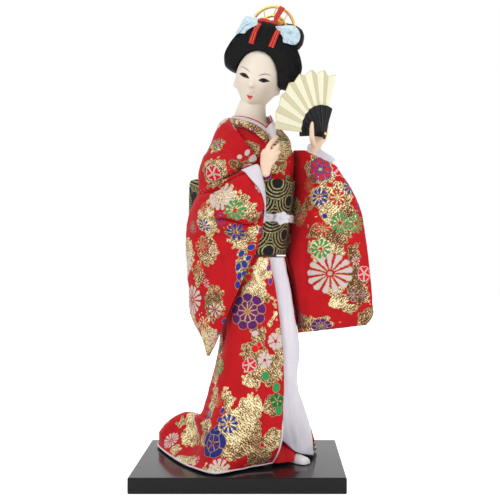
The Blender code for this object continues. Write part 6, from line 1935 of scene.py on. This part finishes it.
flesh = Paint("hand_flesh", (0.88, 0.62, 0.44), 0.42, Specular_IOR_Level=0.18)
mm = flesh.place()
flesh.wire(flesh.mix(flesh.noise(mm, 0.22, 2.0), (0.86, 0.60, 0.43), (0.93, 0.73, 0.57)), "Base Color")
flesh.bump(flesh.noise(mm, 1.0, 3.0), 0.06, 0.4)
hint = (0.0, 1.0, 0.1)
melt("hand_right_form", [
    ([(16.6, -29.4, 179.6), (16.6, -29.8, 184.0), (17.4, -30.0, 189.0), (18.2, -30.0, 193.5), (18.8, -29.8, 197.0)],
     (2.6, 3.2, 4.2, 4.7, 3.4), 0.55, hint),
    ([(16.6, -30.0, 193.0), (18.2, -30.2, 197.6), (20.6, -29.4, 201.4), (23.0, -28.0, 204.0), (24.4, -27.1, 205.0)],
     (1.7, 1.6, 1.5, 1.25, 0.8), 1.0, hint),
    ([(19.0, -31.0, 191.5), (21.6, -31.2, 195.4), (24.0, -30.2, 198.4), (24.4, -28.6, 199.6)],
     (1.6, 1.55, 1.35, 0.9), 1.0, hint),
    ([(19.4, -31.0, 189.0), (22.0, -31.0, 192.2), (24.2, -29.8, 195.0), (24.0, -28.4, 196.2)], (1.6, 1.5, 1.3, 0.9),
     1.0, hint),
    ([(18.6, -30.6, 186.6), (21.2, -30.4, 189.2), (23.2, -29.2, 191.6), (23.0, -28.0, 192.8)], (1.5, 1.4, 1.2, 0.8),
     1.0, hint),
], "hand_right", flesh.mat)
melt("hand_left_form", [
    ([(48.6, -12.0, 194.0), (48.2, -14.2, 198.6), (48.8, -16.2, 202.6), (49.9, -16.8, 206.6), (50.6, -16.5, 209.2)],
     (3.2, 3.2, 3.8, 3.7, 2.4), 0.6, hint),
    ([(50.6, -16.4, 205.0), (53.2, -16.2, 208.8), (54.9, -16.4, 212.0), (54.8, -16.8, 214.0)],
     (1.7, 1.6, 1.4, 0.85), 1.0, hint),
    ([(50.0, -15.4, 203.4), (52.8, -15.0, 206.0), (54.6, -15.2, 208.6), (54.9, -15.8, 210.6)],
     (1.6, 1.5, 1.3, 0.85), 1.0, hint),
    ([(49.6, -14.6, 201.0), (52.2, -14.2, 203.2), (54.0, -14.4, 205.4), (54.4, -15.0, 207.0)],
     (1.5, 1.4, 1.2, 0.85), 1.0, hint),
    ([(47.0, -16.0, 200.0), (46.4, -22.0, 200.8), (45.2, -28.6, 203.6), (44.9, -31.0, 209.0), (45.3, -31.2, 213.6)],
     (1.7, 1.7, 1.6, 1.45, 0.8), 1.0, (1.0, 0.1, 0.1)),
], "hand_left", flesh.mat)

# Socks with a split toe.
sock = Paint("tabi_white", (0.82, 0.81, 0.83), 0.8, Sheen_Weight=0.2, Specular_IOR_Level=0.2)
weave = plain_weave(sock, 0.30)
mm = sock.place()
sock.wire(sock.shade(sock.mix(sock.noise(mm, 0.4, 3.0), (0.74, 0.73, 0.76), (0.88, 0.87, 0.88)),
                     sock.noise(mm, 2.5, 2.0) * 0.1 + 0.94),
          "Base Color")
sock.bump(sock.noise(mm, 2.6, 3.0) * 0.6 + sock.noise(mm, 0.6, 2.0), 0.15, 0.6)
feet = []
for name, heel, toe, cleft in (("tabi_left", (22.0, 0.0), (43.0, -19.8), -0.45),
                               ("tabi_right", (8.0, -3.0), (18.4, -17.6), 0.45)):
    heel = np.array(heel)
    toe = np.array(toe)
    axis = (toe - heel) / np.linalg.norm(toe - heel)
    length = np.linalg.norm(toe - heel)
    side = np.array([-axis[1], axis[0]])
    stations = smooth_line([(0.0, 1.2, 5.5), (0.015, 2.2, 6.8), (0.06, 3.2, 8.6), (0.25, 3.6, 9.0),
                            (0.45, 3.7, 6.8), (0.7, 4.3, 4.9),
                            (0.88, 4.15, 4.0), (0.96, 3.4, 3.3), (1.0, 1.8, 2.0)], 60)
    angle = np.linspace(0, 2 * math.pi, 81)
    rings = []
    for t, half, high in stations:
        c, s = np.cos(angle), np.sin(angle)
        flat = np.where(s < 0, 0.0, s)
        gap = 1.3 * np.clip((t - 0.72) / 0.28, 0, 1) * np.exp(-((c - cleft) / 0.10) ** 2) * (s > 0)
        edge = np.clip((t - 0.90) / 0.10, 0, 1) * 1.6 * np.exp(-((c - cleft) / 0.13) ** 2)
        centre = heel + axis * length * t
        q = centre[None, :] + side[None, :] * (half * c)[:, None] - axis[None, :] * edge[:, None]
        z = FLOOR + 0.05 + high * flat ** 0.8 * (1 - 0.5 * gap / 1.3) + np.where(s < 0, 0.0, 0.25 * (1 - np.abs(c)))
        rings.append(np.concatenate([q, z[:, None]], 1))
    b = Builder()
    closed_tube(b, np.array(rings))
    feet.append(b.piece(name + "_sock", sock.mat, [name]))

# Fan.
PIVOT = np.array([52.0, -22.0, 207.0])
FAN_START, FAN_END, FAN_TURN = math.radians(74.0), math.radians(181.0), math.radians(40.0)
LEAF_IN, FAN_RADIUS, PLEATS = 17.8, 39.6, 7


def fan_point(r, a, depth):
    r, a, depth = np.broadcast_arrays(np.asarray(r, float), np.asarray(a, float), np.asarray(depth, float))
    along, up = r * np.cos(a), r * np.sin(a)
    c, s = math.cos(FAN_TURN), math.sin(FAN_TURN)
    return PIVOT + np.stack([along * c - depth * s, along * s + depth * c, up], -1)


paper = Paint("fan_paper", (0.86, 0.82, 0.60), 0.42, Specular_IOR_Level=0.18, Sheen_Weight=0.05)
mm = paper.place()
x, y, _ = paper.split(paper.uv())
ridge = 1.0 - ((x + 0.5).op("FRACT") - 0.5).op("ABSOLUTE").step(0.03, 0.09)
rim_line = y.step(0.965, 0.985)
fibre = paper.noise(paper.scaled(paper.uv(), (3.0, 26.0, 1.0)), 1.0, 3.0, 0.7)
color = paper.mix(fibre, (0.84, 0.81, 0.56), (0.96, 0.95, 0.78))
# Every other pleat facet is darkened: painted shade on the facets that turn away from the light.
facet_painted_shade = (x * 0.5).op("FRACT").step(0.49, 0.51)
color = paper.mix(facet_painted_shade * 0.45, color, (0.50, 0.42, 0.20))
color = paper.mix(ridge * 0.55, color, (0.46, 0.34, 0.10))
color = paper.mix(rim_line * 0.5, color, (0.55, 0.42, 0.14))
paper.wire(color, "Base Color")
paper.wire(ridge * 0.3, "Metallic")
paper.bump(fibre + paper.noise(mm, 1.4, 3.0) * 0.6, 0.08, 0.5)
count = PLEATS * 2
sub = 8
k = np.linspace(0, count, count * sub + 1)
a = FAN_START + (FAN_END - FAN_START) * k / count
saw = 1 - 2 * np.abs((k + 1) % 2 - 1)
saw = saw * -0.62
r = np.linspace(LEAF_IN, FAN_RADIUS, 34)
grow = 0.5 + 0.9 * (r - LEAF_IN) / (FAN_RADIUS - LEAF_IN)
depth = saw[:, None] * grow[None, :]
reach = (r[None, :] - LEAF_IN) / (FAN_RADIUS - LEAF_IN)
cut = (1.3 * saw[:, None] / 0.62 + 0.9) * reach ** 6
front = fan_point(r[None, :] - cut, a[:, None], depth - 0.16)
back_side = fan_point(r[None, :] - cut, a[:, None], depth + 0.16)
uv = np.stack([np.broadcast_to(k[:, None], front.shape[:2]),
               np.broadcast_to(((r - LEAF_IN) / (FAN_RADIUS - LEAF_IN))[None, :], front.shape[:2])], -1)
b = Builder()
rows_n, columns_n = front.shape[:2]
top = b.grid(front, uv)
low = b.grid(back_side, uv, flip=True)
last = (rows_n - 1) * columns_n
b.strip([top + i for i in range(columns_n)], [low + i for i in range(columns_n)])
b.strip([low + last + i for i in range(columns_n)], [top + last + i for i in range(columns_n)])
b.strip([low + q * columns_n for q in range(rows_n)], [top + q * columns_n for q in range(rows_n)])
b.strip([top + q * columns_n + columns_n - 1 for q in range(rows_n)],
        [low + q * columns_n + columns_n - 1 for q in range(rows_n)])
leaf = b.piece("fan_leaf_paper", paper.mat, ["fan_leaf"])
mod = leaf.modifiers.new("edges", "EDGE_SPLIT")
mod.split_angle = math.radians(40)

lacquer = Paint("fan_lacquer", (0.008, 0.008, 0.009), 0.22, Specular_IOR_Level=0.08, Coat_Weight=0.5, Coat_IOR=1.3,
                Coat_Roughness=0.12)
mm = lacquer.place()
lacquer.wire(0.18 + lacquer.noise(mm, 0.8, 3.0) * 0.2, "Roughness")
lacquer.wire(lacquer.mix(lacquer.noise(mm, 1.4, 3.0), (0.004, 0.004, 0.005), (0.018, 0.017, 0.017)), "Base Color")
lacquer.bump(lacquer.noise(mm, 0.9, 2.0), 0.05, 0.3)
ribs = []
RIBS = 8
for k in range(RIBS):
    a = FAN_START + (FAN_END - FAN_START) * (k + (0.02 if k == 0 else -0.02 if k == RIBS - 1 else 0.0)) / (RIBS - 1)
    depth = (k - (RIBS - 1) / 2) * 0.58
    stations = smooth_line([(-3.4, 0.45), (-2.9, 1.05), (-1.5, 1.5), (0.0, 1.65), (4.0, 1.5), (9.0, 1.7),
                            (17.2, 2.6), (17.6, 2.3)], 60)
    t = np.linspace(0, 2 * math.pi, 21)
    c, s = np.cos(t), np.sin(t)
    q = (np.abs(c) ** 3 + np.abs(s) ** 3) ** (-1 / 3)
    rings = []
    for r, half in stations:
        mix = max(r, 0.0) / LEAF_IN
        y = depth * (1 - 0.35 * mix)
        across = half * q * c
        ridge = -0.10 * np.exp(-(c / 0.35) ** 2) * (s < 0)
        base = fan_point(r, a, y)
        side = np.array([-math.sin(a) * math.cos(FAN_TURN), -math.sin(a) * math.sin(FAN_TURN), math.cos(a)])
        thick = np.array([-math.sin(FAN_TURN), math.cos(FAN_TURN), 0.0])
        rings.append(base + across[:, None] * side + (0.2 * q * s + ridge)[:, None] * thick)
    b = Builder()
    closed_tube(b, np.array(rings))
    ribs.append(b.piece("fan_stick_%02d" % (k + 1), lacquer.mat, ["fan_rib_%02d" % (k + 1)]))
rings = []
head_depth = (RIBS - 1) / 2 * 0.58 + 0.17 + 0.35
for y, r in ((-head_depth - 0.75, 0.15), (-head_depth - 0.68, 0.5), (-head_depth - 0.5, 0.9),
             (-head_depth - 0.2, 1.0), (-head_depth, 1.0)):
    t = np.linspace(0, 2 * math.pi, 33)
    rings.append(fan_point(np.hypot(r * np.cos(t), r * np.sin(t)), t, y))
b = Builder()
closed_tube(b, np.array(rings))
b.piece("fan_rivet_head", gold.mat, ["fan_rivet"])

# Plinth: satin black board.
board = Paint("plinth_black", (0.018, 0.018, 0.019), 0.34, Specular_IOR_Level=0.04, Coat_Weight=1.0, Coat_IOR=1.22,
              Coat_Roughness=0.12)
mm = board.place()
grain = board.noise(board.scaled(mm, (0.3, 2.2, 2.2)), 0.5, 4.0, 0.6)
dust = board.noise(mm, 0.03, 2.0)
board.wire(board.mix(grain, (0.005, 0.005, 0.005), (0.013, 0.013, 0.0135)), "Base Color")
board.wire(0.30 + grain * 0.10 + dust * 0.10, "Roughness")
board.bump(grain, 0.03, 0.35)
bm = bmesh.new()
bmesh.ops.create_cube(bm, size=1.0)
for vert in bm.verts:
    vert.co = (vert.co.x * 0.130, vert.co.y * 0.100, (vert.co.z + 0.5) * 0.00975)
bmesh.ops.bevel(bm, geom=list(bm.edges), offset=0.0008, segments=4, profile=0.5, affect="EDGES")
mesh = bpy.data.meshes.new("plinth_board")
bm.to_mesh(mesh)
bm.free()
mesh.polygons.foreach_set("use_smooth", [True] * len(mesh.polygons))
mesh.materials.append(board.mat)
plinth = bpy.data.objects.new("plinth_board", mesh)
bpy.context.scene.collection.objects.link(plinth)
mod = plinth.modifiers.new("flat", "WEIGHTED_NORMAL")
mod.keep_sharp = True
settle(plinth, ["base_plinth"])


# Stage: white backdrop and floor, soft studio light, the photograph's camera.
def seen(tree):
    """One for camera, glossy and transmission rays: the white that is seen or mirrored."""
    path = tree.nodes.new("ShaderNodeLightPath")
    total = path.outputs["Is Camera Ray"]
    for kind in ("Is Glossy Ray", "Is Transmission Ray"):
        add = tree.nodes.new("ShaderNodeMath")
        add.operation = "ADD"
        add.use_clamp = True
        tree.links.new(total, add.inputs[0])
        tree.links.new(path.outputs[kind], add.inputs[1])
        total = add.outputs[0]
    return total


scene = bpy.context.scene
scene.view_settings.view_transform = "Standard"
world = bpy.data.worlds.new("studio")
scene.world = world
world.use_nodes = True
tree = world.node_tree
tree.nodes.clear()
out = tree.nodes.new("ShaderNodeOutputWorld")
soft = tree.nodes.new("ShaderNodeBackground")
soft.inputs["Color"].default_value = (1.0, 0.99, 0.98, 1.0)
soft.inputs["Strength"].default_value = 0.50
plain = tree.nodes.new("ShaderNodeBackground")
plain.inputs["Color"].default_value = (1.0, 1.0, 1.0, 1.0)
plain.inputs["Strength"].default_value = 1.0
mix = tree.nodes.new("ShaderNodeMixShader")
tree.links.new(seen(tree), mix.inputs[0])
tree.links.new(soft.outputs[0], mix.inputs[1])
tree.links.new(plain.outputs[0], mix.inputs[2])
tree.links.new(mix.outputs[0], out.inputs["Surface"])

floor_paint = Paint("floor_white", (0.93, 0.93, 0.93), 0.8, Specular_IOR_Level=0.1)
bpy.ops.mesh.primitive_plane_add(size=4.0, location=(0.0, 0.0, -0.0002))
floor = bpy.context.object
floor.name = "studio_floor"
floor.data.materials.append(floor_paint.mat)
tree = floor_paint.tree
glow = tree.nodes.new("ShaderNodeEmission")
glow.inputs["Strength"].default_value = 0.72
add = tree.nodes.new("ShaderNodeAddShader")
mix = tree.nodes.new("ShaderNodeMixShader")
tree.links.new(floor_paint.shader.outputs[0], add.inputs[0])
tree.links.new(glow.outputs[0], add.inputs[1])
tree.links.new(seen(tree), mix.inputs[0])
tree.links.new(floor_paint.shader.outputs[0], mix.inputs[1])
tree.links.new(add.outputs[0], mix.inputs[2])
tree.links.new(mix.outputs[0], tree.nodes["Material Output"].inputs["Surface"])


def lamp(name, place, aim, size, power, tint=(1.0, 1.0, 1.0)):
    data = bpy.data.lights.new(name, "AREA")
    data.shape = "DISK"
    data.size = size
    data.energy = power
    data.color = tint
    obj = bpy.data.objects.new(name, data)
    scene.collection.objects.link(obj)
    obj.location = place
    obj.rotation_euler = (Vector(aim) - Vector(place)).to_track_quat("-Z", "Y").to_euler()
    return obj


lamp("key", (-0.55, -0.75, 0.75), (0.0, 0.0, 0.16), 0.50, 4.1)
lamp("fill", (0.75, -0.60, 0.45), (0.0, 0.0, 0.16), 0.60, 2.9)
lamp("top", (0.0, 0.35, 0.95), (0.0, 0.0, 0.12), 0.70, 2.8)

data = bpy.data.cameras.new("photo_camera")
data.sensor_width = 36.0
data.lens = 60.34
data.shift_x = -0.052
data.clip_start = 0.01
camera = bpy.data.objects.new("photo_camera", data)
scene.collection.objects.link(camera)
camera.location = (0.023, -0.545, 0.1444)
camera.rotation_euler = (math.pi / 2, 0.0, 0.0)
scene.camera = camera

# The hidden CAD pieces that stay get materials of their own.
steel = Paint("post_steel", (0.55, 0.55, 0.56), 0.34, 1.0)
mm = steel.place()
brushed = steel.noise(steel.scaled(mm, (3.0, 3.0, 0.2)), 1.0, 3.0)
steel.wire(steel.mix(brushed, (0.48, 0.48, 0.49), (0.62, 0.62, 0.63)), "Base Color")
steel.bump(brushed, 0.04, 0.4)
straw = Paint("core_straw", (0.72, 0.62, 0.42), 0.85, Specular_IOR_Level=0.2)
mm = straw.place()
stalks = straw.noise(straw.scaled(mm, (1.0, 1.0, 0.15)), 0.9, 4.0, 0.7)
straw.wire(straw.mix(stalks, (0.50, 0.40, 0.23), (0.80, 0.71, 0.50)), "Base Color")
straw.bump(stalks, 0.5, 0.8)
for cad in bpy.data.objects:
    if "stand_post" in cad.name or "body_core" in cad.name:
        for place in cad.material_slots:
            place.material = steel.mat if "stand_post" in cad.name else straw.mat
